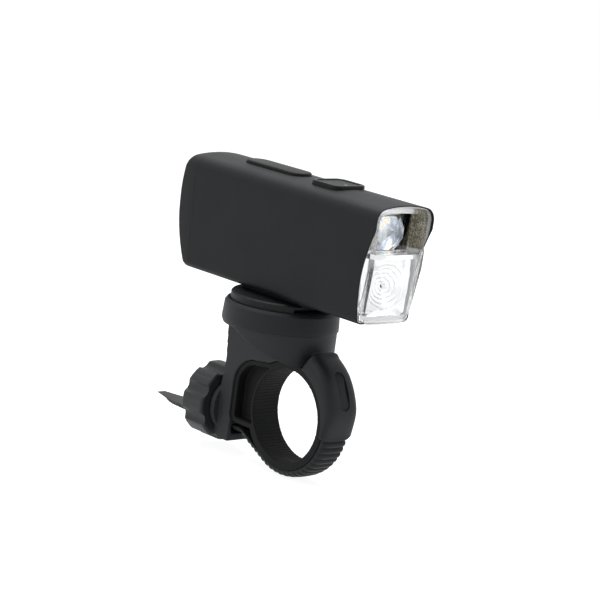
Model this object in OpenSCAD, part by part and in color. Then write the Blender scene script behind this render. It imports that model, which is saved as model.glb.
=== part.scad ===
// Bicycle headlight on a swivelling handlebar clamp.
// Origin at the centre of the handlebar bore, X along the beam, Z up, sizes in millimetres.

/* [Handlebar clamp] */
// Diameter of the handlebar that the clamp takes
bar_d = 31.8; // [28:0.1:35]
// Width of the rubber liner along the bar
liner_w = 11.8; // [11.4:0.1:13]
// Wall of the rubber liner round the bar
liner_wall = 2.6; // [2:0.1:3.2]
// Reach of the liner's hollow bow behind its ring
bow_depth = 8; // [7.4:0.1:9]
// Wall of the hollow bow
bow_wall = 1.7; // [1.2:0.1:2.4]
// Thin wall between the bow's pocket and the bar
bow_inner_wall = 1.1; // [0.8:0.1:1.6]
// Web between the bow's two blind pockets
bow_web = 4; // [3:0.1:6]
// Radius of the bow's upper corner
bow_r = 10; // [8:0.1:11]
// Radius of the bow's lower corner
bow_low_r = 3; // [2.8:0.1:4]
// How far the bow's top falls towards the rear
bow_fall = 2.2; // [1.5:0.1:3]

/* [Strap] */
// Width of the strap
strap_w = 11; // [10.2:0.1:11.4]
// Thickness of the strap without its ribs
strap_t = 1.5; // [1.2:0.1:2]
// Height of the ribs on the strap
rib_h = 0.85; // [0.6:0.05:1]
// Drop of the crowned ribs towards the strap's edges
rib_crown = 1.2; // [0.8:0.1:1.4]
// Width of one rib
rib_w = 0.8; // [0.6:0.05:0.9]
// Pitch of the ribs and of the knob's thread
rib_pitch = 2.2; // [2.1:0.05:2.6]
// Slope of the strap where it leaves the bar for the foot
strap_slope = 27; // [24:1:30]
// Depth of the tail's flat face below the bar's centre
tail_drop = 10.3; // [9.8:0.1:10.8]
// Length of the tail past the foot's rear wall
tail_len = 39; // [34:0.5:45]
// Length of the tail's tapered tip
tip_len = 15; // [10:0.5:20]
// Width of the tail's tip
tip_w = 3.4; // [2.5:0.1:5]
// Thickness of the tail's core at its middle
tail_t = 2; // [1.7:0.1:2.3]

/* [Strap cap] */
// Place of the strap hinge round the bar, from straight ahead
hinge_angle = 65; // [62:0.5:68]
// Diameter of the hinge pin
pin_d = 2; // [1.6:0.1:2.2]
// Wall round the hinge pin
knuckle_wall = 1.1; // [1:0.05:1.2]
// Width of the bracket's hinge lug
lug_w = 4.6; // [3.6:0.1:5.5]
// Width of the cap
cap_w = 14; // [13:0.1:14.6]
// How much the cap stands out over the strap
cap_rise = 5.2; // [4.8:0.05:5.4]
// Bevel along the cap's two long edges
cap_bevel = 1.3; // [0.8:0.1:1.8]
// Depth of the long recess in the cap
cap_recess = 0.7; // [0.4:0.05:1]
// Width of the long recess in the cap
cap_recess_w = 4.2; // [3:0.1:5]

/* [Knob] */
// Diameter over the knob's lobes
knob_d = 26.4; // [25:0.1:28]
// Length of the knob
knob_len = 10.6; // [10:0.1:12]
// Number of lobes
knob_lobes = 8; // [6:1:10]
// Radius of the hollows between the lobes
hollow_r = 2.6; // [2.2:0.1:3.2]
// Depth of the hollows between the lobes
lobe_depth = 1.5; // [1:0.1:2]
// Distance of the tail's flat face below the knob's axis
tail_below_axis = 5.2; // [5:0.1:5.4]
// Height of the thread inside the knob
thread_h = 0.55; // [0.4:0.05:0.6]
// Width of the thread at its foot
thread_w = 0.9; // [0.7:0.05:1]

/* [Bracket] */
// Distance of the swivel axis behind the bar's centre
swivel_back = 14.1; // [13.5:0.1:14.8]
// Height of the head's top face over the bar's centre
seam_z = 28.9; // [28.4:0.1:32]
// Radius of the round head
head_r = 19.6; // [19.2:0.1:20]
// Wall behind the liner's bow
rear_wall = 5.1; // [4.5:0.1:5.8]
// Half width of the neck and the foot
foot_half_w = 6.6; // [6.5:0.1:7.5]
// Wall of the foot under the strap
foot_floor = 2.5; // [2:0.1:3.5]
// Wall between the bow and the strap's slot
foot_shelf = 1.2; // [1:0.1:1.6]
// Slope of the head's lower edge towards the front
apron_angle = 26; // [22:1:28]
// Drop of the head's lower edge at the swivel axis
apron_drop = 2.4; // [2:0.1:3.5]
// Thickness of the rim under the collar
rim_t = 1.6; // [1.2:0.1:2.2]
// How far the neck stands out backwards at the knob and under the head
neck_flare = 1.8; // [1.4:0.1:2.2]

/* [Head and turntable] */
// Height of the collar
collar_h = 6.6; // [6:0.1:8]
// Wall of the collar
collar_wall = 1.85; // [1.5:0.05:2.2]
// Chamfer round the top of the collar
collar_chamfer = 1; // [0.6:0.1:1.4]
// Wall of the spigot that the collar sits over
spigot_wall = 1.2; // [1:0.1:1.5]
// Height of the spigot
spigot_h = 2.4; // [2:0.1:3]
// How far the turntable stands over the collar
disc_proud = 2.8; // [2.6:0.1:3.4]
// Thickness of the lips that hold the lamp's rail
rail_lip = 1.1; // [0.9:0.05:1.3]
// Diameter of the pivot screw
screw_d = 4; // [3.5:0.1:4.4]
// Diameter of the pivot screw's head
screw_head_d = 7.2; // [6.4:0.1:8]
// Height of the pivot screw's head
screw_head_h = 2; // [1.6:0.1:2.4]
// Thickness of the spring washer
spring_t = 0.7; // [0.5:0.05:0.9]
// Thickness of the friction washer
friction_t = 0.45; // [0.3:0.05:0.8]
// Width of the pivot nut across its flats
nut_af = 7; // [6.5:0.1:8]
// Height of the pivot nut
nut_h = 3.2; // [2.6:0.1:3.6]
// Depth of the nut's seat below the head's top face
nut_depth = 5; // [4:0.1:5.5]

/* [Lamp foot] */
// Length of the foot along the beam
foot_len = 28; // [24:0.5:30]
// Half width of the foot's neck
neck_half_w = 6.5; // [5.5:0.1:7.5]
// Overhang of the foot's flange on each side
flange_over = 2.5; // [1.8:0.1:3]
// Gap between the turntable and the lamp's underside
lamp_gap = 1.4; // [1.1:0.1:2]
// Distance between the foot's two screws
foot_screw_pitch = 18; // [14:0.5:20]
// Diameter of the foot screws
foot_screw_d = 2.2; // [1.8:0.1:2.4]
// Diameter of the foot screws' heads
foot_head_d = 4.2; // [3.6:0.1:4.6]
// Height of the foot screws' heads
foot_head_h = 1.6; // [1.2:0.1:2]

/* [Lamp housing] */
// Wall of the housing
wall = 1.8; // [1.5:0.05:2.2]
// Distance of the visor's tip ahead of the bar's centre
lamp_front = 37.6; // [35:0.1:41]
// Length of the rear cap past its parting line
cap_len = 8; // [7:0.1:9]
// Narrowing of each side from the shoulder to the floor
side_taper = 1.2; // [0:0.1:1.6]
// Radius of the upper corners
top_r = 4.6; // [3.5:0.1:6]
// Radius of the lower corners
bottom_r = 2.4; // [2:0.1:3]
// Radius of the crowned top
crown_r = 50; // [40:1:80]
// How far the side edges stand back from the visor's tip
edge_back = 4.6; // [3.5:0.1:5.5]
// Height of the side edges' hollow above the floor
edge_hollow_h = 11.3; // [9.5:0.1:13.5]
// Height of the visor's lower tips above the floor
visor_h = 30.9; // [29.5:0.1:32.5]
// How far the side edges come forward again at the floor
edge_toe = 1.2; // [0.8:0.1:2.4]

/* [Rear cap] */
// Radius of the bulge of the rear end, seen from the side
rear_bulge_r = 50; // [45:1:70]
// Height of the rear bulge above the floor
rear_bulge_h = 22.3; // [19.5:0.1:24.5]
// Radius of the bulge of the rear end, seen from above
rear_plan_r = 42; // [36:1:60]
// Length of the cap's skirt inside the housing
skirt_len = 4; // [3.5:0.1:5]
// Wall of the cap's skirt
skirt_wall = 1.6; // [1.4:0.05:2]
// Width of the gaskets
seal_w = 1.4; // [1:0.1:1.8]
// Depth of the gaskets' grooves
seal_t = 0.75; // [0.5:0.05:0.9]

/* [Optics] */
// Depth of the optics behind the visor's tip
optics_depth = 13.9; // [13:0.1:16]
// Wall of the lens
lens_wall = 1.6; // [1.3:0.05:2]
// How far the lens stands behind the visor's tip
lens_setback = 0.3; // [0.1:0.1:1]
// Radius of the lens's bulge, seen from above
lens_bulge_r = 20; // [18:0.5:26]
// Depth of the lens's skirt behind the visor's tip
lens_skirt = 13; // [12:0.1:13.3]
// Height of the shelf between the two windows above the floor
shelf_h = 22.7; // [21.5:0.1:24]
// Thickness of that shelf
shelf_t = 1.6; // [1.2:0.1:2]
// How far the upper niche's front edge stands behind the visor's tip
niche_setback = 3; // [2:0.1:4]
// Depth of the upper niche behind the visor's tip
niche_depth = 9.4; // [8.5:0.1:10]
// Width of the upper optic
optic_w = 14.6; // [12:0.1:15.5]
// Room over the upper optic
optic_room = 1.3; // [1.2:0.1:2.5]
// Depth of the upper optic
optic_depth = 6; // [5:0.1:6.3]
// Depth of the reflector dish
dish_depth = 8.8; // [8:0.1:9.2]
// Radius of the dish's mouth
dish_r = 8.2; // [7:0.1:8.4]
// Height of the dish's axis above the floor
dish_h = 12; // [11.6:0.1:12.6]
// Width of an LED
led_w = 3.4; // [2.8:0.1:3.8]
// Height of an LED
led_t = 0.9; // [0.6:0.1:1.2]
// Thickness of the LED board
led_board_t = 1.6; // [1.2:0.1:2]
// Thickness of the heat sink's plate
sink_t = 3; // [2:0.1:4]
// Length of the heat sink's fins
fin_len = 5.5; // [4:0.1:7]
// Number of fins
fins = 5; // [3:1:6]

/* [Battery and electronics] */
// Diameter of the battery cell
cell_d = 18.4; // [17.5:0.1:19]
// Length of the battery cell
cell_len = 65; // [60:0.5:70]
// Room between the cell and the housing's wall
cell_side_room = 2.2; // [2:0.05:3]
// Floor of the battery cradle
cradle_floor = 2.6; // [2.2:0.1:3]
// Width of the cradle's posts
post_w = 1; // [0.8:0.05:1.1]
// Room between the cell and the control board
board_gap = 3.5; // [3:0.1:5]
// Thickness of the control board
board_t = 1.2; // [1:0.1:1.6]
// Room between the control board and the housing's top
top_room = 10.6; // [10.4:0.1:13]
// Thickness of the cell's tabs
tab_t = 0.25; // [0.15:0.05:0.4]
// Width of the cell's tabs
tab_w = 6; // [4:0.5:8]
// Length of the charging socket's mouth
socket_len = 8.9; // [8:0.1:9.4]
// Width of the charging socket's mouth
socket_w = 3.3; // [3:0.1:3.6]
// Wall of the charging socket
socket_wall = 0.35; // [0.25:0.05:0.4]
// Width of the switch's body
switch_w = 6; // [5:0.1:7]
// Height of the switch's body
switch_h = 3.8; // [3:0.1:5]
// Diameter of the switch's stem
stem_d = 3.2; // [2.5:0.1:4]
// Diameter of the LED leads
lead_d = 1.2; // [0.8:0.1:1.4]

/* [Button and port cover] */
// Distance of the button's middle behind the visor's tip
button_back = 32.7; // [30:0.1:35]
// Length of the button's rim
rim_len = 13.6; // [12:0.1:15]
// Width of the button's rim
rim_w = 14.6; // [13:0.1:15]
// Corner radius of the button's rim
rim_r = 3.2; // [2.5:0.1:4]
// Width of the rim's ring
rim_ring = 1.5; // [1.2:0.1:2]
// How far the rim stands over the housing
rim_proud = 1.2; // [0.8:0.1:1.5]
// How far the button's panel lies below the rim
panel_low = 0.35; // [0.2:0.05:0.6]
// Thickness of the button's panel
panel_t = 2.2; // [1.8:0.1:2.4]
// Travel of the button
button_travel = 0.6; // [0.3:0.05:0.7]
// Diameter of the indicator window
indicator_d = 1.4; // [1:0.1:2]
// Distance of the port cover's rear end behind the visor's tip
cover_back = 76.5; // [75:0.1:78]
// Length of the port cover
cover_len = 28.5; // [26:0.1:30]
// Width of the port cover
cover_w = 9.2; // [8.6:0.1:10]
// How far the port cover stands over the housing
cover_proud = 1; // [0.6:0.1:1.4]
// Thickness of the port cover
cover_t = 2.1; // [1.8:0.1:2.4]
// Thickness of the port cover's hinge end
cover_hinge_t = 1.2; // [0.9:0.1:1.3]
// Length of the port cover's hinge end
cover_hinge_len = 4.5; // [4:0.1:5.5]
// Depth of the plug into the socket
plug_depth = 2; // [1.2:0.1:2.4]

/* [Clearances] */
// Gap between pieces that lie against each other
seat_gap = 0.1; // [0.05:0.01:0.15]
// Gap between rigid pieces that move past each other
move_gap = 0.3; // [0.2:0.05:0.35]
// Radial gap of a pin that turns in its hole
run_gap = 0.06; // [0.03:0.01:0.09]

/* [Hidden] */
$fn = 64;
// Overshoot of a cut past the face that it opens
over = 1;
// Overlap of two shapes that are joined into one piece
bite = 0.3;
// Angle from straight ahead to straight up
upright = 90;

// Clamp and strap
bore_r = bar_d / 2;
liner_r = bore_r + liner_wall;
saddle_r = liner_r + seat_gap;
strap_in_r = liner_r + 1.5 * seat_gap;
strap_out_r = strap_in_r + strap_t;
bow_back = liner_r + bow_depth;
bow_top = liner_r - 1.5;
bow_bottom = -(tail_drop - move_gap - foot_shelf);
strap_leave = [-strap_in_r * sin(strap_slope), -strap_in_r * cos(strap_slope)];
strap_bend = [strap_leave.x + (strap_leave.y + tail_drop) / tan(strap_slope), -tail_drop];
slope_len = norm(strap_bend - strap_leave);
slope_out = [-sin(strap_slope), -cos(strap_slope)];
slope_along = [-cos(strap_slope), sin(strap_slope)];
rib_step = rib_pitch / strap_out_r * 180 / PI;
rib_tip_r = strap_out_r + rib_h;
rib_crown_r = (strap_w * strap_w / 4 + rib_crown * rib_crown) / (2 * rib_crown);
first_rib = -14;
last_rib = -upright - strap_slope;

// Knob and its thread
wall_x = -(bow_back + rear_wall);
knob_seat_x = wall_x - neck_flare - 0.2;
knob_front_x = knob_seat_x - move_gap;
knob_z = -(tail_drop - tail_below_axis);
tail_root_r = tail_below_axis + tail_t;
tail_tip_r = tail_root_r + rib_h;
tail_half_w = sqrt(tail_root_r * tail_root_r - tail_below_axis * tail_below_axis);
tail_end_x = wall_x - tail_len;
knob_bore_r = tail_tip_r + move_gap;
knob_seat_r = knob_bore_r + 1.2;
first_tooth_x = knob_front_x + 5 * rib_pitch;
tail_teeth = floor((first_tooth_x - tail_end_x - tip_len / 2) / rib_pitch);

// Strap hinge and cap
knuckle_r = pin_d / 2 + knuckle_wall;
lug_r = knuckle_r - 0.2;
hinge_r = strap_in_r + knuckle_r + seat_gap;
hinge = [hinge_r * cos(hinge_angle), hinge_r * sin(hinge_angle)];
cap_centre = [-2.56, 1.92];
cap_r = strap_out_r + cap_rise;
cap_start = -11;
cap_end = atan2(hinge.y - cap_centre.y, hinge.x - cap_centre.x);
recess_start = 14;
recess_end = 40;

// Bracket
slot_floor_z = knob_z - tail_tip_r - move_gap;
foot_z = slot_floor_z - foot_floor;
foot_front_x = strap_bend.x - 5;
nut_z = seam_z - nut_depth - nut_h;

// Head and turntable
collar_r = head_r + 0.4;
collar_in_r = collar_r - collar_wall;
spigot_r = collar_in_r - run_gap;
spigot_in_r = spigot_r - spigot_wall;
collar_top_z = seam_z + collar_h;
disc_top_z = collar_top_z + disc_proud;
disc_r = collar_in_r - move_gap;
disc_low_r = spigot_in_r - move_gap;
disc_step_z = seam_z + spigot_h + move_gap;
disc_low_z = seam_z + seat_gap + friction_t + seat_gap;
flange_z = collar_top_z + move_gap;
flange_top_z = disc_top_z - rail_lip - seat_gap;
channel_z = flange_z - seat_gap;
flange_half_w = neck_half_w + flange_over;
foot_rear_x = -swivel_back - foot_len / 2;
foot_stop_x = foot_rear_x - seat_gap;
screw_well_z = disc_low_z + 1.8;
screw_head_z = screw_well_z + seat_gap + spring_t;
screw_tip_z = nut_z - 0.4;

// Lamp housing
lamp_z = disc_top_z + lamp_gap;
lamp_w = cell_d + 2 * (cell_side_room + wall);
lamp_h = wall + cradle_floor + cell_d + board_gap + board_t + top_room + wall;
lamp_top_z = lamp_z + lamp_h;
foot_tip_z = lamp_z + wall + cradle_floor / 2;
board_front_x = lamp_front - optics_depth;
sink_front_x = board_front_x - led_board_t;
sink_rear_x = sink_front_x - sink_t;
cell_front_x = sink_rear_x - 3.5 * seat_gap - tab_t;
cell_rear_x = cell_front_x - cell_len;
skirt_x = cell_rear_x - tab_t - 0.65;
cap_x = skirt_x - skirt_len;
rear_x = cap_x - cap_len;
edge_low = edge_toe / (edge_hollow_h * edge_hollow_h);
edge_high = (edge_back - 0.3) / ((visor_h - edge_hollow_h) * (visor_h - edge_hollow_h));
in_lens = wall + 1.5 * seat_gap;
lens_front_x = lamp_front - lens_setback;
shelf_z = lamp_z + shelf_h;
dish_z = lamp_z + dish_h;
dish_front_x = board_front_x + dish_depth;
dish_hole_r = led_w * 0.75;
optic_z = shelf_z + shelf_t / 2 + seat_gap;
optic_h = lamp_top_z - in_lens - lens_wall - optic_room - optic_z;

// Battery and electronics
cell_z = lamp_z + wall + cradle_floor + cell_d / 2;
board_z = cell_z + cell_d / 2 + board_gap;
board_top_z = board_z + board_t;
board_half_w = cell_d / 2 + 1.2;
post_y = cell_d / 2 + seat_gap;
roof_z = lamp_top_z - wall;

// Button and port cover
button_x = lamp_front - button_back;
rim_top_z = lamp_top_z + rim_proud;
rim_low_z = roof_z - 1;
panel_top_z = rim_top_z - panel_low;
panel_z = panel_top_z - panel_t;
stem_top_z = panel_z - button_travel - 1;
cover_x = lamp_front - cover_back;
cover_top_z = lamp_top_z + cover_proud;
cover_z = cover_top_z - cover_t;
port_floor_z = cover_z - 2 * seat_gap;
port_pad_z = port_floor_z - 2;
socket_x = cover_x + cover_len / 2;
socket_top_z = port_floor_z - 0.5;

// Lay a drawing of the side view upright and give it a width across the bar
module across(width) {
    rotate([90, 0, 0])
        linear_extrude(width, center = true)
            children();
}

// Stand a drawing of the front view upright and run it along the beam
module along(from_x, to_x) {
    translate([from_x, 0, 0])
        rotate([90, 0, 90])
            linear_extrude(to_x - from_x)
                children();
}

// Round rod across the bar at a point of the side view
module cross_rod(point, radius, length) {
    translate([point.x, 0, point.y])
        rotate([90, 0, 0])
            cylinder(r = radius, h = length, center = true);
}

// Round rod along the beam at a height
module long_rod(from_x, to_x, height, radius) {
    translate([from_x, 0, height])
        rotate([0, 90, 0])
            cylinder(r = radius, h = to_x - from_x);
}

// Upright cylinder on the swivel axis
module on_swivel(from_z, to_z, radius) {
    translate([-swivel_back, 0, from_z])
        cylinder(r = radius, h = to_z - from_z);
}

// Rectangle with round corners, from its low to its high corner
module round_rect(low, high, radius) {
    translate([low.x + radius, low.y])
        square([high.x - low.x - 2 * radius, high.y - low.y]);
    translate([low.x, low.y + radius])
        square([high.x - low.x, high.y - low.y - 2 * radius]);
    for (x = [low.x + radius, high.x - radius], y = [low.y + radius, high.y - radius])
        translate([x, y])
            circle(radius);
}

// Points of an arc
function arc(centre, radius, from_a, to_a, steps) = [
    for (i = [0:steps])
        let (a = from_a + (to_a - from_a) * i / steps)
            centre + radius * [cos(a), sin(a)]
];

// One half of the lamp's cross-section, set in by a distance, from the floor to the crown
function half_section(inset) = let (
    shoulder = lamp_w / 2 - inset,
    base = lamp_w / 2 - side_taper - inset,
    rt = max(top_r - inset, 0.6),
    rb = max(bottom_r - inset, 0.5),
    rc = crown_r - inset,
    crown_mid = lamp_top_z - crown_r,
    lean = asin((shoulder - rt) / (rc - rt)),
    top_mid = [shoulder - rt, crown_mid + (rc - rt) * cos(lean)],
    low_mid = [base - rb, lamp_z + inset + rb]
) concat(
    arc(low_mid, rb, -upright, 0, 4),
    arc(top_mid, rt, 0, upright - lean, 6),
    arc([0, crown_mid], rc, upright - lean * 0.66, upright, 2)
);

// The lamp's cross-section, set in by a distance
module section(inset) {
    half = half_section(inset);
    last = len(half) - 1;
    polygon(concat(half, [for (i = [1:last]) [-half[last - i].x, half[last - i].y]]));
}

// Front edge of the housing's sides at a height above the floor
function edge_x(h) = lamp_front - edge_back
    + (h < edge_hollow_h ? edge_low : edge_high) * (h - edge_hollow_h) * (h - edge_hollow_h);

// Room in front of the housing's side edges and below its visor, set in by a distance
module before_edge(inset) {
    side_steps = 16;
    top_h = visor_h - inset;
    across(lamp_w + over)
        polygon(concat(
            [for (i = [0:side_steps]) let (h = top_h * i / side_steps) [edge_x(h) + inset, lamp_z + h]],
            [[lamp_front + over, lamp_z + top_h], [lamp_front + over, lamp_z - over],
             [edge_x(0) + inset, lamp_z - over]]
        ));
}

// Outline of the liner's bow, set in by a distance
module bow(inset) {
    high_r = bow_r - inset;
    low_r = bow_low_r - inset;
    back = -bow_back + inset;
    low = bow_bottom + inset;
    polygon(concat(
        [[0, low], [0, bow_top - inset]],
        arc([back + high_r, bow_top - bow_fall - bow_r], high_r, upright, 2 * upright, 12),
        arc([back + low_r, low + low_r], low_r, 2 * upright, 3 * upright, 6)
    ));
}

// Long outline with round ends, from a rear end
module oblong(rear, length, width, low_z, high_z) {
    translate([0, 0, low_z])
        linear_extrude(high_z - low_z)
            union() {
                translate([rear + width / 2, -width / 2])
                    square([length - width, width]);
                for (x = [rear + width / 2, rear + length - width / 2])
                    translate([x, 0])
                        circle(width / 2);
            }
}

// Block with round upright corners about a middle
module pad(middle_x, length, width, radius, low_z, high_z) {
    translate([middle_x, 0, low_z])
        linear_extrude(high_z - low_z)
            round_rect([-length / 2, -width / 2], [length / 2, width / 2], radius);
}

// Box from its low to its high corner
module box(low, high) {
    translate(low)
        cube(high - low);
}

// Bracket: head, neck, rear wall, foot and hinge lug in one moulding
module bracket() {
    color("#26272a")
        union() {
            difference() {
                union() {
                    bracket_head();
                    bracket_neck();
                    bracket_seat();
                }
                across(3 * head_r) {
                    circle(saddle_r);
                    bow(-seat_gap);
                }
                box([foot_front_x, -head_r, foot_z - over], [head_r, head_r, bow_bottom + bow_low_r]);
                box(
                    [knob_seat_x - over, -tail_half_w - move_gap, slot_floor_z],
                    [foot_front_x + over, tail_half_w + move_gap, -tail_drop + move_gap]
                );
                on_swivel(nut_z, seam_z + over, screw_d / 2 + run_gap / 2);
                translate([-swivel_back, 0, 0])
                    cylinder(d = nut_af / cos(30) + 2 * seat_gap, h = nut_z + nut_h, $fn = 6);
            }
            bracket_lug();
        }
}

// Round head, cut off below by a plane that falls towards the front, with the collar's spigot
module bracket_head() {
    apron_reach = 2 * head_r;
    apron_fall = tan(apron_angle) * apron_reach;
    apron_z = seam_z - apron_drop;
    intersection() {
        on_swivel(0, seam_z, head_r);
        translate([-swivel_back, 0, 0])
            across(3 * head_r)
                polygon([
                    [-apron_reach, apron_z + apron_fall],
                    [apron_reach, apron_z - apron_fall],
                    [apron_reach, seam_z],
                    [-apron_reach, seam_z + apron_fall]
                ]);
    }
    on_swivel(seam_z - rim_t, seam_z, head_r);
    difference() {
        on_swivel(seam_z - bite, seam_z + spigot_h, spigot_r);
        on_swivel(seam_z, seam_z + spigot_h + over, spigot_in_r);
    }
}

// Neck: flat cheeks level with the liner, hollowed behind between the head and the knob
module bracket_neck() {
    corner = 3.5;
    corner_mid = [wall_x - neck_flare + corner, foot_z + corner];
    waist_z = bow_top - 5;
    across(2 * foot_half_w)
        polygon(concat(
            [
                [0, seam_z],
                [wall_x - neck_flare, seam_z],
                [wall_x - neck_flare * 0.8, seam_z - rim_t],
                [wall_x - neck_flare * 0.3, waist_z + 6],
                [wall_x, waist_z],
                [wall_x - neck_flare * 0.3, waist_z - 6],
                [wall_x - neck_flare * 0.8, waist_z - 12],
                [wall_x - neck_flare, waist_z - 18]
            ],
            arc(corner_mid, corner, 2 * upright, 3 * upright, 6),
            [[0, foot_z]]
        ));
}

// Round flange that the knob bears on
module bracket_seat() {
    long_rod(knob_seat_x, wall_x, knob_z, knob_seat_r);
}

// Lug at the front that the strap hinges on
module bracket_lug() {
    plate_side = 0.8 * lug_r * [cos(70), sin(70)];
    difference() {
        across(lug_w) {
            translate(hinge)
                circle(lug_r);
            polygon([
                hinge + plate_side,
                [-swivel_back + head_r - 4, seam_z - 4],
                [-swivel_back + head_r - 10, saddle_r - 4],
                hinge - plate_side
            ]);
        }
        cross_rod([0, 0], saddle_r, lug_w + over);
        cross_rod(hinge, pin_d / 2 + run_gap / 2, lug_w + over);
    }
}

// Collar: ring over the head's spigot
module head_collar() {
    color("#2b2c2f")
        translate([-swivel_back, 0, 0])
            rotate_extrude()
                polygon([
                    [collar_in_r, seam_z],
                    [collar_r, seam_z],
                    [collar_r, collar_top_z - collar_chamfer],
                    [collar_r - collar_chamfer, collar_top_z],
                    [collar_in_r, collar_top_z]
                ]);
}

// Liner: rubber ring round the bar, with a hollow bow that fills the room behind it
module rubber_liner() {
    pocket_depth = (liner_w - bow_web) / 2;
    color("#141415")
        difference() {
            across(liner_w)
                difference() {
                    union() {
                        circle(liner_r);
                        bow(0);
                    }
                    circle(bore_r);
                }
            for (side = [-1, 1])
                translate([0, side * (bow_web + pocket_depth + over) / 2, 0])
                    across(pocket_depth + over)
                        difference() {
                            bow(bow_wall);
                            circle(bore_r + bow_inner_wall);
                        }
        }
}

module hinge_pin() {
    color("silver")
        cross_rod(hinge, pin_d / 2, cap_w - 0.4);
}

// Pivot screw: holds the turntable down on the head
module pivot_screw() {
    color("silver")
        difference() {
            union() {
                on_swivel(screw_tip_z, screw_head_z + bite, screw_d / 2);
                on_swivel(screw_head_z, screw_head_z + screw_head_h, screw_head_d / 2);
            }
            translate([-swivel_back, 0, screw_head_z + screw_head_h / 2])
                cylinder(d = screw_d * 0.7, h = screw_head_h, $fn = 6);
        }
}

module pivot_nut() {
    color("silver")
        difference() {
            translate([-swivel_back, 0, nut_z])
                cylinder(d = nut_af / cos(30), h = nut_h, $fn = 6);
            on_swivel(nut_z - over, nut_z + nut_h + over, screw_d / 2 + run_gap / 2);
        }
}

module spring_washer() {
    color("lightsteelblue")
        difference() {
            on_swivel(screw_well_z + seat_gap, screw_head_z, screw_head_d / 2);
            on_swivel(screw_well_z, screw_head_z + over, screw_d / 2 + run_gap);
        }
}

module friction_washer() {
    color("ivory")
        difference() {
            on_swivel(seam_z + seat_gap / 2, disc_low_z - seat_gap, disc_low_r - move_gap);
            on_swivel(seam_z, disc_low_z + over, screw_d / 2 + move_gap);
        }
}

// Strap: one flexible piece from the hinge cap round the bar to the toothed tail
module clamp_strap() {
    color("#1f2022")
        difference() {
            union() {
                difference() {
                    across(strap_w)
                        band_outline();
                    rib_crown_cut();
                }
                across(cap_w)
                    cap_outline();
                strap_bend_piece();
                strap_tail();
            }
            cap_bevel_cut();
            cap_long_recess();
            cross_rod(hinge, pin_d / 2 + run_gap, cap_w + 2 * over);
            lug_slot();
        }
}

// Side view of the strap's round band, its slope and its ribs
module band_outline() {
    reach = 2 * cap_r;
    difference() {
        union() {
            intersection() {
                circle(strap_out_r);
                polygon(concat([[0, 0]], arc([0, 0], reach, last_rib, 0, 4)));
            }
            polygon([
                strap_leave,
                strap_bend,
                strap_bend + strap_t * slope_out,
                strap_leave + strap_t * slope_out
            ]);
            for (a = [first_rib:-rib_step:last_rib])
                rotate(a)
                    strap_rib(strap_out_r);
            for (s = [rib_pitch:rib_pitch:slope_len - rib_w])
                translate(strap_leave + s * slope_along)
                    rotate(last_rib)
                        strap_rib(strap_t);
        }
        circle(strap_in_r);
    }
}

// Side view of the cap and its hinge knuckle
module cap_outline() {
    reach = 2 * cap_r;
    difference() {
        union() {
            intersection() {
                translate(cap_centre)
                    circle(cap_r);
                polygon(concat([cap_centre], arc(cap_centre, reach, cap_start, cap_end, 3)));
            }
            translate(hinge)
                circle(knuckle_r);
        }
        circle(strap_in_r);
    }
}

// One rib, standing out along X from a distance
module strap_rib(from_x) {
    translate([from_x - bite, -rib_w / 2])
        square([rib_h + bite, rib_w]);
}

// Narrow bend from the slope into the tail
module strap_bend_piece() {
    lap = 3 * slope_along;
    across(2 * tail_half_w - bite)
        polygon([
            strap_bend - lap,
            strap_bend,
            strap_bend - [2, 0],
            strap_bend - [2, strap_t],
            strap_bend + strap_t * slope_out,
            strap_bend - lap + strap_t * slope_out
        ]);
}

// Room in the cap for the bracket's lug
module lug_slot() {
    slot_r = lug_r + move_gap;
    across(lug_w + 2 * move_gap) {
        translate(hinge)
            circle(slot_r);
        polygon([
            hinge + 0.9 * slot_r * [cos(60), sin(60)],
            hinge + 3 * knuckle_r * [-1, 1],
            hinge + knuckle_r * [-3, -1],
            hinge - 0.9 * slot_r * [cos(60), sin(60)]
        ]);
    }
}

// Tail: a flat-topped segment with teeth that run in the knob's thread
module strap_tail() {
    intersection() {
        union() {
            long_rod(tail_end_x, strap_bend.x, knob_z, tail_root_r);
            for (i = [0:tail_teeth])
                long_rod(
                    first_tooth_x - i * rib_pitch - rib_w / 2,
                    first_tooth_x - i * rib_pitch + rib_w / 2,
                    knob_z,
                    tail_tip_r
                );
        }
        box(
            [tail_end_x, -tail_half_w, knob_z - 2 * tail_tip_r],
            [strap_bend.x, tail_half_w, -tail_drop]
        );
        translate([0, 0, knob_z - 2 * tail_tip_r])
            linear_extrude(2 * tail_tip_r)
                polygon([
                    [tail_end_x, -tip_w / 2],
                    [tail_end_x + tip_len, -tail_half_w],
                    [strap_bend.x, -tail_half_w],
                    [strap_bend.x, tail_half_w],
                    [tail_end_x + tip_len, tail_half_w],
                    [tail_end_x, tip_w / 2]
                ]);
    }
}

// Shoulders that leave the ribs crowned across the strap, with a narrow flat along their middle
module rib_crown_cut() {
    crown_start = last_rib + rib_step / 5;
    crown_end = first_rib + rib_step / 2;
    crown_mid_r = rib_tip_r + seat_gap - rib_crown_r;
    rotate([90, 0, 0])
        rotate(crown_start)
            rotate_extrude(angle = crown_end - crown_start)
                difference() {
                    translate([crown_mid_r, -strap_w / 2 - over])
                        square([rib_crown_r + over, strap_w + 2 * over]);
                    translate([crown_mid_r, 0])
                        circle(rib_crown_r);
                }
}

// Bevels along the cap's two outer edges
module cap_bevel_cut() {
    translate([cap_centre.x, 0, cap_centre.y])
        rotate([90, 0, 0])
            rotate(cap_start)
                rotate_extrude(angle = cap_end - cap_start + 10)
                    for (side = [-1, 1])
                        polygon([
                            [cap_r - cap_bevel - over, side * (cap_w / 2 + over)],
                            [cap_r + over, side * (cap_w / 2 - cap_bevel - over)],
                            [cap_r + over, side * (cap_w / 2 + over)]
                        ]);
}

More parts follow.
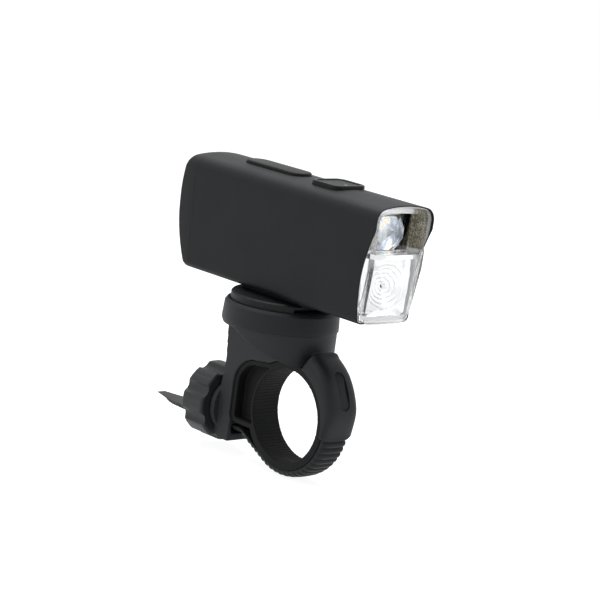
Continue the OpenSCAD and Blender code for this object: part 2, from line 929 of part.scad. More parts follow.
// Long recess in the cap's outer face
module cap_long_recess() {
    floor_r = cap_r - cap_recess;
    translate([cap_centre.x, 0, cap_centre.y]) {
        rotate([90, 0, 0])
            rotate(recess_start)
                rotate_extrude(angle = recess_end - recess_start)
                    translate([floor_r, -cap_recess_w / 2])
                        square([2 * cap_recess, cap_recess_w]);
        for (a = [recess_start, recess_end])
            rotate([0, 90 - a, 0])
                translate([0, 0, floor_r])
                    cylinder(d = cap_recess_w, h = 2 * cap_recess);
    }
}

// Knob: lobed nut on the strap's tail
module clamp_knob() {
    rear = knob_front_x - knob_len;
    chamfer = 0.7;
    hollow_mid = knob_d / 2 - lobe_depth + hollow_r;
    color("#232427")
        union() {
            difference() {
                translate([rear, 0, knob_z])
                    rotate([0, 90, 0])
                        rotate_extrude()
                            polygon([
                                [0, 0],
                                [knob_d / 2 - chamfer, 0],
                                [knob_d / 2, chamfer],
                                [knob_d / 2, knob_len - chamfer],
                                [knob_d / 2 - chamfer, knob_len],
                                [0, knob_len]
                            ]);
                for (i = [0:knob_lobes - 1])
                    translate([0, 0, knob_z])
                        rotate([(i + 0.5) * 360 / knob_lobes, 0, 0])
                            long_rod(rear - over, knob_front_x + over, hollow_mid, hollow_r);
                long_rod(rear - over, knob_front_x + over, knob_z, knob_bore_r);
            }
            knob_thread();
        }
}

// Right-hand thread inside the knob, its ridge between the tail's teeth
module knob_thread() {
    per_turn = 20;
    turns = floor((knob_len - 2 * rib_pitch) / rib_pitch);
    steps = per_turn * turns;
    start_x = knob_front_x - (turns + 0.5) * rib_pitch;
    ring = [
        [knob_bore_r + bite, -thread_w / 2],
        [knob_bore_r + bite, thread_w / 2],
        [knob_bore_r - move_gap - thread_h, thread_w / 4],
        [knob_bore_r - move_gap - thread_h, -thread_w / 4]
    ];
    points = [
        for (i = [0:steps], p = ring)
            let (a = -90 + i * 360 / per_turn)
                [start_x + i * rib_pitch / per_turn + p.y, p.x * cos(a), knob_z + p.x * sin(a)]
    ];
    faces = concat(
        [[0, 2, 1], [0, 3, 2]],
        [
            for (i = [0:steps - 1], k = [0:3], half = [0, 1])
                let (a = 4 * i + k, b = 4 * i + (k + 1) % 4)
                    half == 0 ? [a, b, a + 4] : [b, b + 4, a + 4]
        ],
        [[4 * steps, 4 * steps + 1, 4 * steps + 2], [4 * steps, 4 * steps + 2, 4 * steps + 3]]
    );
    polyhedron(points, faces);
}

// Turntable: disc on the head, with a channel for the lamp's rail
module turntable() {
    edge = 0.5;
    color("#2f3033")
        difference() {
            translate([-swivel_back, 0, 0])
                rotate_extrude()
                    polygon([
                        [0, disc_low_z],
                        [disc_low_r, disc_low_z],
                        [disc_low_r, disc_step_z],
                        [disc_r, disc_step_z],
                        [disc_r, disc_top_z - edge],
                        [disc_r - edge, disc_top_z],
                        [0, disc_top_z]
                    ]);
            box(
                [foot_stop_x, -flange_half_w - seat_gap, channel_z],
                [head_r, flange_half_w + seat_gap, disc_top_z - rail_lip]
            );
            box(
                [foot_stop_x, -neck_half_w - seat_gap, channel_z],
                [head_r, neck_half_w + seat_gap, disc_top_z + over]
            );
            on_swivel(disc_low_z - over, disc_top_z, screw_d / 2 + run_gap);
            on_swivel(screw_well_z, disc_top_z, screw_head_d / 2 + move_gap);
        }
}

// Foot: T-rail under the lamp
module lamp_foot() {
    color("#1b1b1d")
        difference() {
            union() {
                box(
                    [foot_rear_x, -flange_half_w, flange_z],
                    [foot_rear_x + foot_len, flange_half_w, flange_top_z]
                );
                box(
                    [foot_rear_x, -neck_half_w, flange_z],
                    [foot_rear_x + foot_len, neck_half_w, lamp_z]
                );
            }
            foot_screw_shapes(run_gap, over);
        }
}

module foot_screws() {
    color("silver")
        foot_screw_shapes(0, 0);
}

// The two foot screws, or with a gap the holes for them
module foot_screw_shapes(gap, below) {
    head_z = flange_z + seat_gap;
    for (side = [-1, 1])
        translate([-swivel_back + side * foot_screw_pitch / 2, 0, 0]) {
            translate([0, 0, head_z - below])
                cylinder(d = foot_head_d + 2 * gap, h = foot_head_h + below);
            translate([0, 0, head_z])
                cylinder(d = foot_screw_d + 2 * gap, h = foot_tip_z - head_z + gap);
        }
}

// Housing: open tube with a visor over the lens
module housing() {
    color("#303133")
        difference() {
            union() {
                difference() {
                    along(cap_x, lamp_front)
                        section(0);
                    along(cap_x - over, lamp_front + over)
                        section(wall);
                }
                intersection() {
                    oblong(
                        cover_x - 1.5, cover_len + 3, cover_w + 3,
                        port_pad_z, lamp_top_z
                    );
                    along(cap_x, lamp_front)
                        section(wall / 2);
                }
            }
            before_edge(0);
            oblong(
                cover_x - 2 * seat_gap, cover_len + 4 * seat_gap, cover_w + 4 * seat_gap,
                port_floor_z, lamp_top_z + over
            );
            box(
                [socket_x - socket_len / 2 - 2 * seat_gap, -socket_w / 2 - 2 * seat_gap, port_pad_z - over],
                [socket_x + socket_len / 2 + 2 * seat_gap, socket_w / 2 + 2 * seat_gap, lamp_top_z]
            );
            pad(
                button_x, rim_len + 2 * seat_gap, rim_w + 2 * seat_gap, rim_r + seat_gap,
                rim_low_z - over, lamp_top_z + over
            );
            foot_screw_shapes(run_gap, over);
        }
}

// Rounded rear end, set in by a distance, from an x
module rear_end(inset, from_x, to_x) {
    intersection() {
        along(from_x, to_x)
            section(inset);
        cross_rod([rear_x + rear_bulge_r, lamp_z + rear_bulge_h], rear_bulge_r - inset, lamp_w + over);
        translate([rear_x + rear_plan_r, 0, lamp_z - over])
            cylinder(r = rear_plan_r - inset, h = lamp_h + 2 * over, $fn = 128);
    }
}

// Rear cap: closes the housing, with a skirt that carries the gasket
module rear_cap() {
    in_skirt = wall + seat_gap;
    groove_x = cap_x + (skirt_len - seal_w) / 2;
    color("#2d2e30")
        difference() {
            union() {
                rear_end(0, rear_x - over, cap_x);
                along(cap_x - bite, skirt_x)
                    section(in_skirt);
            }
            rear_end(in_skirt + skirt_wall, rear_x - over, cap_x - bite / 2);
            along(cap_x - bite, skirt_x + over)
                section(in_skirt + skirt_wall);
            difference() {
                along(groove_x, groove_x + seal_w)
                    section(wall / 2);
                along(groove_x - over, groove_x + seal_w + over)
                    section(in_skirt + seal_t);
            }
        }
}

// Gasket in a groove, between an inner and an outer inset
module gasket(from_x, outer, inner) {
    along(from_x, from_x + seal_w - seat_gap / 2)
        difference() {
            section(outer);
            section(inner);
        }
}

module cap_seal() {
    color("#5a2a22")
        gasket(
            cap_x + (skirt_len - seal_w) / 2 + seat_gap / 4,
            wall + seat_gap / 2,
            wall + seat_gap + seal_t - seat_gap / 4
        );
}

// Lens: clear cup with a bulging lower window and an open niche above its shelf
module front_lens() {
    skirt_rear_x = lamp_front - lens_skirt;
    niche_front_x = lamp_front - niche_setback;
    groove_x = skirt_rear_x + seal_w / 2;
    bulge_x = lens_front_x - lens_bulge_r;
    color("lightcyan", 0.5)
        difference() {
            intersection() {
                union() {
                    along(skirt_rear_x, lens_front_x)
                        section(in_lens);
                    intersection() {
                        along(skirt_rear_x, lens_front_x)
                            section(seat_gap);
                        before_edge(seat_gap);
                    }
                }
                translate([bulge_x, 0, lamp_z])
                    cylinder(r = lens_bulge_r, h = lamp_h);
                across(lamp_w)
                    polygon([
                        [skirt_rear_x - over, lamp_z],
                        [lens_front_x, lamp_z],
                        [lens_front_x, shelf_z],
                        [niche_front_x, shelf_z + shelf_t],
                        [niche_front_x, lamp_top_z],
                        [skirt_rear_x - over, lamp_top_z]
                    ]);
            }
            intersection() {
                along(skirt_rear_x - over, lens_front_x)
                    section(in_lens + lens_wall);
                translate([bulge_x, 0, lamp_z])
                    cylinder(r = lens_bulge_r - lens_wall, h = shelf_h - shelf_t / 2);
            }
            intersection() {
                along(lamp_front - niche_depth, lamp_front)
                    section(in_lens + lens_wall);
                box([0, -lamp_w, shelf_z + shelf_t / 2], [lamp_front, lamp_w, lamp_top_z]);
            }
            intersection() {
                along(skirt_rear_x - over, lamp_front - niche_depth - lens_wall)
                    section(in_lens + lens_wall);
                box([0, -lamp_w, shelf_z + shelf_t / 2], [lamp_front, lamp_w, lamp_top_z]);
            }
            difference() {
                along(groove_x, groove_x + seal_w)
                    section(wall / 2);
                along(groove_x - over, groove_x + seal_w + over)
                    section(in_lens + seal_t);
            }
        }
}

module lens_seal() {
    color("gainsboro")
        gasket(
            lamp_front - lens_skirt + seal_w / 2 + seat_gap / 4,
            wall + seat_gap / 2,
            in_lens + seal_t - seat_gap / 4
        );
}

// Upper optic: clear collimator block on the shelf, its far side rounded
module upper_optic() {
    near_y = -(lamp_w / 2 - side_taper - in_lens - lens_wall - move_gap);
    far_y = near_y + optic_w;
    rear_x_optic = lamp_front - niche_depth + seat_gap;
    color("azure", 0.6)
        along(rear_x_optic, rear_x_optic + optic_depth)
            polygon([
                [near_y, optic_z],
                [far_y - optic_w / 4, optic_z],
                [far_y, optic_z + optic_h * 0.36],
                [far_y, optic_z + optic_h * 0.64],
                [far_y - optic_w / 6, optic_z + optic_h],
                [near_y + optic_w / 15, optic_z + optic_h],
                [near_y, optic_z + optic_h * 0.9]
            ]);
}

// Reflector: block with a bright parabolic dish round the lower LED
module reflector_dish() {
    mouth_slope = dish_r * dish_r / dish_depth;
    steps = 12;
    color("gainsboro")
        difference() {
            intersection() {
                along(board_front_x, dish_front_x)
                    section(in_lens + lens_wall + seat_gap);
                box(
                    [0, -lamp_w, lamp_z],
                    [lamp_front, lamp_w, shelf_z - shelf_t / 2 - seat_gap]
                );
            }
            translate([board_front_x, 0, dish_z])
                rotate([0, 90, 0])
                    rotate_extrude()
                        polygon(concat(
                            [[0, 0]],
                            [
                                for (i = [1:steps])
                                    let (depth = (dish_depth + over) * i / steps)
                                        [sqrt(mouth_slope * depth), depth]
                            ],
                            [[0, dish_depth + over]]
                        ));
            long_rod(board_front_x - over, board_front_x + 2 * led_t, dish_z, dish_hole_r);
        }
}

module led_board() {
    color("whitesmoke")
        along(sink_front_x, board_front_x)
            section(wall + 3 * seat_gap);
}

// One LED on the front of its board
module led_at(height) {
    color("khaki")
        union() {
            box(
                [board_front_x, -led_w / 2, height - led_w / 2],
                [board_front_x + led_t / 2, led_w / 2, height + led_w / 2]
            );
            long_rod(board_front_x, board_front_x + led_t, height, led_w * 0.4);
        }
}

module lower_led() {
    led_at(dish_z);
}

module upper_led() {
    led_at(shelf_z + shelf_t + optic_h / 2);
}

// Two leads from the control board to the LED board
module led_leads() {
    color("firebrick")
        for (side = [-1, 1])
            translate([0, side * 2 * lead_d, 0])
                long_rod(cell_front_x + tab_t, sink_front_x, board_z + board_t / 2, lead_d / 2);
}

// Heat sink: aluminium plate behind the LED board with fins above the control board
module heat_sink() {
    fin_pitch = (lamp_w - 2 * wall - 6) / (fins - 1);
    color("silver")
        difference() {
            union() {
                along(sink_rear_x, sink_front_x)
                    section(wall + 1.5 * seat_gap);
                for (i = [0:fins - 1])
                    translate([0, (i - (fins - 1) / 2) * fin_pitch, 0])
                        box(
                            [sink_rear_x - fin_len, -0.6, board_top_z + 1.5],
                            [sink_rear_x + bite, 0.6, roof_z - 4]
                        );
            }
            box(
                [sink_rear_x - over, -4 * lead_d, board_z - 1],
                [sink_front_x + over, 4 * lead_d, board_top_z + 1]
            );
        }
}

module battery_cell() {
    color("steelblue")
        long_rod(cell_rear_x, cell_front_x, cell_z, cell_d / 2);
}

// Tabs from the ends of the cell up to the control board
module cell_tabs() {
    color("lightgrey") {
        box([cell_front_x, -tab_w / 2, cell_z - tab_w / 2], [cell_front_x + tab_t, tab_w / 2, board_z]);
        box([cell_rear_x - tab_t, -tab_w / 2, cell_z - tab_w / 2], [cell_rear_x, tab_w / 2, board_z]);
    }
}

// Cradle: trough under the cell with posts that carry the control board
module battery_cradle() {
    half_w = lamp_w / 2 - side_taper - wall - 6 * seat_gap;
    low_z = lamp_z + wall + seat_gap / 2;
    post_len = 6;
    color("#38393c")
        difference() {
            union() {
                box(
                    [cell_rear_x + 2 * seat_gap, -half_w, low_z],
                    [cell_front_x - 2 * seat_gap, half_w, cell_z]
                );
                for (x = [cell_rear_x + 4, cell_front_x - post_len - 4], side = [-1, 1])
                    translate([x, side * (post_y + post_w / 2) - post_w / 2, cell_z - 2])
                        cube([post_len, post_w, board_z - cell_z + 2]);
            }
            long_rod(cell_rear_x - over, cell_front_x + over, cell_z, cell_d / 2 + seat_gap);
            foot_screw_shapes(run_gap, over);
        }
}

module control_board() {
    color("darkgreen")
        box(
            [cell_rear_x - tab_t, -board_half_w, board_z],
            [cell_front_x + tab_t, board_half_w, board_top_z]
        );
}

// Charging socket: upright metal shell with its tongue, mouth up
module charge_socket() {
    half_len = socket_len / 2;
    half_w = socket_w / 2;
    color("silver")
        union() {
            difference() {
                box(
                    [socket_x - half_len, -half_w, board_top_z],
                    [socket_x + half_len, half_w, socket_top_z]
                );
                box(
                    [socket_x - half_len + socket_wall, -half_w + socket_wall, socket_top_z - 6],
                    [socket_x + half_len - socket_wall, half_w - socket_wall, socket_top_z + over]
                );
            }
            box(
                [socket_x - socket_len / 3, -0.35, socket_top_z - 6.5],
                [socket_x + socket_len / 3, 0.35, socket_top_z - plug_depth - 1]
            );
        }
}

module tact_switch() {
    color("dimgray")
        union() {
            pad(button_x, switch_w, switch_w, 0.5, board_top_z, board_top_z + switch_h);
            translate([button_x, 0, board_top_z])
                cylinder(d = stem_d, h = stem_top_z - board_top_z);
        }
}

// Rim: raised ring round the button, glued in the housing's top
module button_frame() {
    color("#111113")
        difference() {
            pad(button_x, rim_len, rim_w, rim_r, rim_low_z, rim_top_z);
            pad(
                button_x, rim_len - 2 * rim_ring, rim_w - 2 * rim_ring, rim_r - rim_ring,
                rim_low_z - over, rim_top_z + over
            );
        }
}

// Button: panel inside the rim with a post over the switch
module power_button() {
    inset = 2 * (rim_ring + move_gap);
    color("#55585b")
        difference() {
            union() {
                pad(
                    button_x, rim_len - inset, rim_w - inset, rim_r - rim_ring - move_gap,
                    panel_z, panel_top_z
                );
                translate([button_x, 0, panel_z - 0.8])
                    cylinder(d = stem_d, h = 0.8 + bite);
            }
            indicator_shape(run_gap / 2, over);
        }
}

// Indicator in the button's panel, or with a gap the hole for it
module indicator_shape(gap, above) {
    translate([button_x + rim_len / 4, 0, panel_top_z - 1])
        cylinder(d = indicator_d + 2 * gap, h = 1 + above);
}

module indicator_window() {
    color("limegreen")
        indicator_shape(0, 0);
}

// Port cover: rubber flap, thin at its hinge end, with a plug for the socket
module port_cover() {
    plug_half_len = socket_len / 2 - socket_wall - 2 * move_gap;
    plug_half_w = socket_w / 2 - socket_wall - move_gap;
    color("#1a1a1b")
        difference() {
            union() {
                oblong(cover_x, cover_len, cover_w, cover_z, cover_top_z);
                box(
                    [socket_x - plug_half_len, -plug_half_w, socket_top_z - plug_depth],
                    [socket_x + plug_half_len, plug_half_w, cover_z + bite]
                );
            }
            box(
                [cover_x - over, -cover_w, cover_z - over],
                [cover_x + cover_hinge_len, cover_w, cover_top_z - cover_hinge_t]
            );
        }
}

bracket();
head_collar();
rubber_liner();
hinge_pin();
pivot_screw();
pivot_nut();
spring_washer();
friction_washer();
clamp_strap();
clamp_knob();
turntable();
lamp_foot();
foot_screws();
housing();
rear_cap();
cap_seal();
front_lens();
lens_seal();
upper_optic();
reflector_dish();
led_board();
lower_led();
upper_led();
led_leads();
heat_sink();
battery_cell();
cell_tabs();
battery_cradle();
control_board();
charge_socket();
tact_switch();
button_frame();
power_button();
indicator_window();
port_cover();
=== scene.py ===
import math
from functools import partial

import bmesh
import bpy
import numpy as np
from mathutils import Matrix, Vector


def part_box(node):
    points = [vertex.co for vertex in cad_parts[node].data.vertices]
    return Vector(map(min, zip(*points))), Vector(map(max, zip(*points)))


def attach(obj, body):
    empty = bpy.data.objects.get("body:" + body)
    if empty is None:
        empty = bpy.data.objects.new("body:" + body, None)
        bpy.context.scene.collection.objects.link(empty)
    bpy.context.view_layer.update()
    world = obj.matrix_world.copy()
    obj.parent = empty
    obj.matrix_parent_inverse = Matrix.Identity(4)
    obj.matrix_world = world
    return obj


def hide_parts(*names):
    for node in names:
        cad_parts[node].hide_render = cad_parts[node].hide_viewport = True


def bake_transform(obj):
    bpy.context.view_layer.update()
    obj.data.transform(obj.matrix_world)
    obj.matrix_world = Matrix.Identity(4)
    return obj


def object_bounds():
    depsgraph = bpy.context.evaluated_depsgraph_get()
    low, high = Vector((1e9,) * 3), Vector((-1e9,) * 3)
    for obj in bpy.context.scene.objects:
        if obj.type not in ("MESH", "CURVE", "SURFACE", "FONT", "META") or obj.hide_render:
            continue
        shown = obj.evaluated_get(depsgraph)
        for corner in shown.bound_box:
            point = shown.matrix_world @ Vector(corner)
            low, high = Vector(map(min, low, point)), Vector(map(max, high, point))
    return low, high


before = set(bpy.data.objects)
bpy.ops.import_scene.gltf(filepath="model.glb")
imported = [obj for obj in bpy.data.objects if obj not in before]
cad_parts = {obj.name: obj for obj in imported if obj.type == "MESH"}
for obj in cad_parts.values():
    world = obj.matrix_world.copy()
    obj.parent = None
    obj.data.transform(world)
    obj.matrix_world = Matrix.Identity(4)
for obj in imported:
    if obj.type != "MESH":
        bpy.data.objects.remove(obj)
cad_low, cad_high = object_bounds()


# Studio: a pale floor under the clamp and a white surround, lit by one broad soft box overhead and
# two weak ones at the sides. The camera stands a little above the bar, to one side of the lens, and
# is rolled a few degrees.
MM = 0.001
PHOTO_SIDE = 600
FOCAL_PIXELS = 2524.5
SENSOR = 36.0
camera_azimuth = math.radians(45.95)
camera_height = math.radians(11.01)
camera_roll = math.radians(7.6)
camera_distance = 850.77 * MM
aim_right, aim_up = -4.20 * MM, 38.42 * MM

view_right = Vector((math.cos(camera_azimuth), math.sin(camera_azimuth), 0))
view_back = Vector((
    math.sin(camera_azimuth) * math.cos(camera_height),
    -math.cos(camera_azimuth) * math.cos(camera_height),
    math.sin(camera_height),
))
view_up = view_back.cross(view_right)
camera_x = view_right * math.cos(camera_roll) + view_up * math.sin(camera_roll)
camera_y = view_up * math.cos(camera_roll) - view_right * math.sin(camera_roll)

camera = bpy.data.objects.new("camera", bpy.data.cameras.new("camera"))
camera.data.sensor_width = SENSOR
camera.data.lens = SENSOR * FOCAL_PIXELS / PHOTO_SIDE
camera.data.clip_start, camera.data.clip_end = 0.01, 50
camera.matrix_world = Matrix((camera_x, camera_y, view_back)).transposed().to_4x4()
camera.location = view_right * aim_right + view_up * aim_up + view_back * camera_distance
bpy.context.scene.collection.objects.link(camera)
bpy.context.scene.camera = camera
bpy.context.scene.view_settings.view_transform = "Standard"


def fill(tree, node, inputs):
    """Sets or links a node's inputs, each given by name or number."""
    for key, value in dict(inputs).items():
        if isinstance(value, bpy.types.NodeSocket):
            tree.links.new(value, node.inputs[key])
        else:
            node.inputs[key].default_value = value
    return node


def make(tree, kind, inputs=(), **settings):
    """New node with its settings and inputs."""
    node = tree.nodes.new(kind)
    for key, value in settings.items():
        setattr(node, key, value)
    return fill(tree, node, inputs)


def sum_of(tree, operation, *values):
    """Result of one math node."""
    return make(tree, "ShaderNodeMath", enumerate(values), operation=operation).outputs[0]


def ranged(tree, value, low, high, from_low=0.0, from_high=1.0):
    """Value mapped from one range to another; low and high are numbers or sockets."""
    ends = {"Value": value, "From Min": from_low, "From Max": from_high, "To Min": low, "To Max": high}
    return make(tree, "ShaderNodeMapRange", ends).outputs["Result"]


def seen_directly(tree, strength, seen, unseen):
    """Sets a strength that camera, mirror and glass rays get, and another for the light on the object."""
    path = make(tree, "ShaderNodeLightPath").outputs
    level = path["Is Camera Ray"]
    for ray in ("Is Glossy Ray", "Is Transmission Ray"):
        level = sum_of(tree, "MAXIMUM", level, path[ray])
    tree.links.new(ranged(tree, level, unseen, seen), strength)


def plain_material(name):
    """New material, with its tree and its shader."""
    material = bpy.data.materials.new(name)
    material.use_nodes = True
    return material, material.node_tree, material.node_tree.nodes["Principled BSDF"]


world = bpy.data.worlds.new("studio")
bpy.context.scene.world = world
world.use_nodes = True
surround = world.node_tree.nodes["Background"]
surround.inputs["Color"].default_value = (1, 1, 1, 1)
seen_directly(world.node_tree, surround.inputs["Strength"], 1.0, 0.25)

FLOOR_HALF = 6.0
floor_z = cad_low.z - 0.2 * MM
floor_mesh = bpy.data.meshes.new("floor")
floor_corners = [(x * FLOOR_HALF, y * FLOOR_HALF, floor_z) for x, y in ((-1, -1), (1, -1), (1, 1), (-1, 1))]
floor_mesh.from_pydata(floor_corners, [], [(0, 1, 2, 3)])
floor = bpy.data.objects.new("floor", floor_mesh)
bpy.context.scene.collection.objects.link(floor)
paper, paper_tree, paper_shader = plain_material("white_paper")
fill(paper_tree, paper_shader, {
    "Base Color": (0.42, 0.42, 0.42, 1), "Roughness": 1.0, "Specular IOR Level": 0.0,
    "Emission Color": (1, 1, 1, 1),
})
seen_directly(paper_tree, paper_shader.inputs["Emission Strength"], 0.9, 0.15)
floor_mesh.materials.append(paper)

object_middle = (cad_low + cad_high) / 2
left_side = object_middle - view_right * 0.7 + view_back * 0.3
right_side = object_middle + view_right * 0.7 + view_back * 0.2
for name, place, width, height, power in (
    ("overhead_box", Vector((-0.12, 0.05, 0.62)), 0.55, 0.55, 4.6),
    ("left_box", left_side + Vector((0, 0, 0.3)), 0.4, 0.5, 1.3),
    ("right_box", right_side + Vector((0, 0, 0.25)), 0.4, 0.5, 0.5),
):
    light = bpy.data.lights.new(name, "AREA")
    light.shape = "RECTANGLE"
    light.size, light.size_y, light.energy = width, height, power
    lamp = bpy.data.objects.new(name, light)
    lamp.location = place
    lamp.rotation_mode = "QUATERNION"
    lamp.rotation_quaternion = (place - object_middle).to_track_quat("Z", "Y")
    bpy.context.scene.collection.objects.link(lamp)


# Bracket: head, neck, rear wall and foot in one moulding of glass-filled nylon, black with a fine
# spark grain. The mould leaves every edge slightly round. It is the fixed body of the clamp.
def add_piece(name, mesh, material, body, slot, *nodes):
    """Shows a finished mesh as a piece that rides on a body and stands for CAD nodes."""
    piece = bpy.data.objects.new(name, mesh)
    bpy.context.scene.collection.objects.link(piece)
    mesh.materials.clear()
    mesh.materials.append(material)
    if body:
        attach(piece, body)
    if nodes:
        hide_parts(*nodes)
    return piece


def settle(name, mesh, modifiers=()):
    """Applies modifiers, each a type and its settings, and gives back the plain mesh."""
    carrier = bpy.data.objects.new(name, mesh)
    bpy.context.scene.collection.objects.link(carrier)
    for kind, settings in modifiers:
        modifier = carrier.modifiers.new(kind, kind)
        for key, value in settings.items():
            if hasattr(modifier, key):
                setattr(modifier, key, value)
            else:
                modifier[key] = value
    bpy.context.view_layer.update()
    graph = bpy.context.evaluated_depsgraph_get()
    plain = bpy.data.meshes.new_from_object(carrier.evaluated_get(graph))
    plain.name = name
    bpy.data.objects.remove(carrier)
    return plain


def smooth(mesh, crease=35):
    """Smooth shading, with edges sharper than an angle kept crisp."""
    mesh.polygons.foreach_set("use_smooth", [True] * len(mesh.polygons))
    mesh.set_sharp_from_angle(angle=math.radians(crease))
    return mesh


def sealed(mesh, near=0.002, turn=True):
    """Joins a mesh's seams and drops loose edges; turn also points its faces outwards."""
    work = bmesh.new()
    work.from_mesh(mesh)
    bmesh.ops.remove_doubles(work, verts=work.verts, dist=near * MM)
    bmesh.ops.delete(work, geom=[e for e in work.edges if not e.link_faces], context="EDGES")
    if turn:
        bmesh.ops.recalc_face_normals(work, faces=work.faces)
    work.to_mesh(mesh)
    work.free()
    return mesh


def moulded_copy(node, name, voxel, soften, keep):
    """Copy of a CAD node with all its edges rounded, as a mould leaves them."""
    return smooth(settle(name, sealed(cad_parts[node].data.copy(), turn=False), (
        ("REMESH", {"mode": "VOXEL", "voxel_size": voxel * MM}),
        ("SMOOTH", {"factor": 0.5, "iterations": soften}),
        ("DECIMATE", {"ratio": keep}),
    )), 60)


def socket(group, name, kind, value=None, way="INPUT"):
    """New socket on a node group's outside, with its usual value."""
    made = group.interface.new_socket(name, in_out=way, socket_type="NodeSocket" + kind)
    if value is not None:
        made.default_value = value


def noise_of(tree, place, scale, detail=2.0):
    cloud = {"Vector": place, "Scale": scale, "Detail": detail}
    return make(tree, "ShaderNodeTexNoise", cloud).outputs["Fac"]


def mixed(tree, factor, first, second):
    colours = {"Factor": factor, "A": first, "B": second}
    return make(tree, "ShaderNodeMix", colours, data_type="RGBA").outputs["Result"]


# spark grain of a moulded face: a fine even pattern, a slow drift of tone, and a few pale dust specks
grain = bpy.data.node_groups.new("moulded_grain", "ShaderNodeTree")
for name, tone in (("Colour", None), ("Worn Colour", None), ("Dust Colour", (0.16, 0.16, 0.15, 1))):
    socket(grain, name, "Color", tone)
for name, level in (("Grain Scale", 3500.0), ("Dust", 0.0), ("Low Roughness", 0.5), ("High Roughness", 0.6)):
    socket(grain, name, "Float", level)
for name, kind in (("Colour", "Color"), ("Roughness", "Float"), ("Height", "Float")):
    socket(grain, name, kind, way="OUTPUT")
grain_in = grain.nodes.new("NodeGroupInput").outputs
grain_out = grain.nodes.new("NodeGroupOutput").inputs
here = grain.nodes.new("ShaderNodeTexCoord").outputs["Object"]
fine = noise_of(grain, here, grain_in["Grain Scale"])
drift = noise_of(grain, here, 70.0, 3.0)
toned = mixed(grain, ranged(grain, drift, 0.0, 1.0, 0.35, 0.7), grain_in["Colour"], grain_in["Worn Colour"])
speck = make(grain, "ShaderNodeTexVoronoi", {"Scale": 900.0, "Vector": here})
speck_mask = ranged(grain, speck.outputs["Distance"], 1.0, 0.0, 0.05, 0.16)
sparse = ranged(grain, noise_of(grain, here, 310.0), 0.0, grain_in["Dust"], 0.6, 0.68)
dusted = sum_of(grain, "MULTIPLY", speck_mask, sparse)
grain.links.new(mixed(grain, dusted, toned, grain_in["Dust Colour"]), grain_out["Colour"])
grain.links.new(ranged(grain, drift, grain_in["Low Roughness"], grain_in["High Roughness"], 0.3, 0.7),
                grain_out["Roughness"])
grain.links.new(fine, grain_out["Height"])


def moulded(name, colour, worn, roughness, specular, scale=3500.0, depth=0.02, dust=0.0, strength=0.5):
    """Moulded plastic or rubber: a tone with slight drift, and a grain of a given depth in millimetres."""
    material, tree, shader = plain_material(name)
    face = make(tree, "ShaderNodeGroup", {
        "Colour": (*colour, 1), "Worn Colour": (*worn, 1), "Grain Scale": scale, "Dust": dust,
        "Low Roughness": roughness[0], "High Roughness": roughness[1],
    }, node_tree=grain).outputs
    bump = make(tree, "ShaderNodeBump", {
        "Strength": strength, "Distance": depth * MM, "Height": face["Height"],
    })
    fill(tree, shader, {
        "Base Color": face["Colour"], "Roughness": face["Roughness"], "Normal": bump.outputs["Normal"],
        "Specular IOR Level": specular,
    })
    return material


bracket_nylon = moulded("bracket_nylon", (0.038, 0.0408, 0.045), (0.044, 0.0472, 0.0515), (0.5, 0.62), 0.16,
                        dust=0.25)
add_piece(
    "bracket_moulding", moulded_copy("bracket", "bracket_moulding", 0.3, 3, 0.4),
    bracket_nylon, "bracket_body", "bracket_plastic", "bracket",
)


# Collar: a separate nylon ring pressed over the head's spigot. Its top edge is chamfered round the
# turntable, and its lower edge swells a little over the bracket's rim.
def span(node):
    """Lowest and highest corner of a CAD node, in millimetres."""
    low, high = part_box(node)
    return np.array(low) / MM, np.array(high) / MM


def skin(name, rings, ends="loop"):
    """Mesh over a row of rings with equal numbers of points, in millimetres.
    ends is loop to join the last ring to the first, or caps to close both with a fan."""
    rings = [np.asarray(ring, float) for ring in rings]
    count = len(rings[0])
    points = [tuple(p * MM) for ring in rings for p in ring]
    rows = len(rings)
    faces = []
    for r in range(rows if ends == "loop" else rows - 1):
        a, b = r * count, ((r + 1) % rows) * count
        for i in range(count):
            j = (i + 1) % count
            faces.append((a + i, a + j, b + j, b + i))
    if ends == "caps":
        for ring, row in ((rings[0], 0), (rings[-1], rows - 1)):
            points.append(tuple(ring.mean(axis=0) * MM))
            tip = len(points) - 1
            faces += [(row * count + i, row * count + (i + 1) % count, tip) for i in range(count)]
    mesh = bpy.data.meshes.new(name)
    mesh.from_pydata(points, [], faces)
    return sealed(mesh, 0.0005)


def rounded_profile(corners, segments=4):
    """Closed outline from corners (across, along, radius), each corner an arc of its radius."""
    out = []
    count = len(corners)
    for i, (x, y, r) in enumerate(corners):
        here = np.array((x, y), float)
        before = np.array(corners[i - 1][:2], float) - here
        after = np.array(corners[(i + 1) % count][:2], float) - here
        before, after = before / np.linalg.norm(before), after / np.linalg.norm(after)
        if r <= 0:
            out.append(here)
            continue
        half = math.acos(np.clip(before @ after, -1, 1)) / 2
        reach = r / math.tan(half)
        middle = here + (before + after) / np.linalg.norm(before + after) * r / math.sin(half)
        first, last = here + before * reach - middle, here + after * reach - middle
        turn = math.atan2(first[0] * last[1] - first[1] * last[0], first @ last)
        for k in range(segments + 1):
            a = turn * k / segments
            c, s = math.cos(a), math.sin(a)
            out.append(middle + np.array((c * first[0] - s * first[1], s * first[0] + c * first[1])))
    return np.array(out)


def turned(name, profile, axis_x, axis_y, steps=128):
    """Lathe work about an upright axis, from a closed outline of radius and height."""
    rings = []
    for i in range(steps):
        a = 2 * math.pi * i / steps
        rings.append([(axis_x + r * math.cos(a), axis_y + r * math.sin(a), z) for r, z in profile])
    return skin(name, rings)


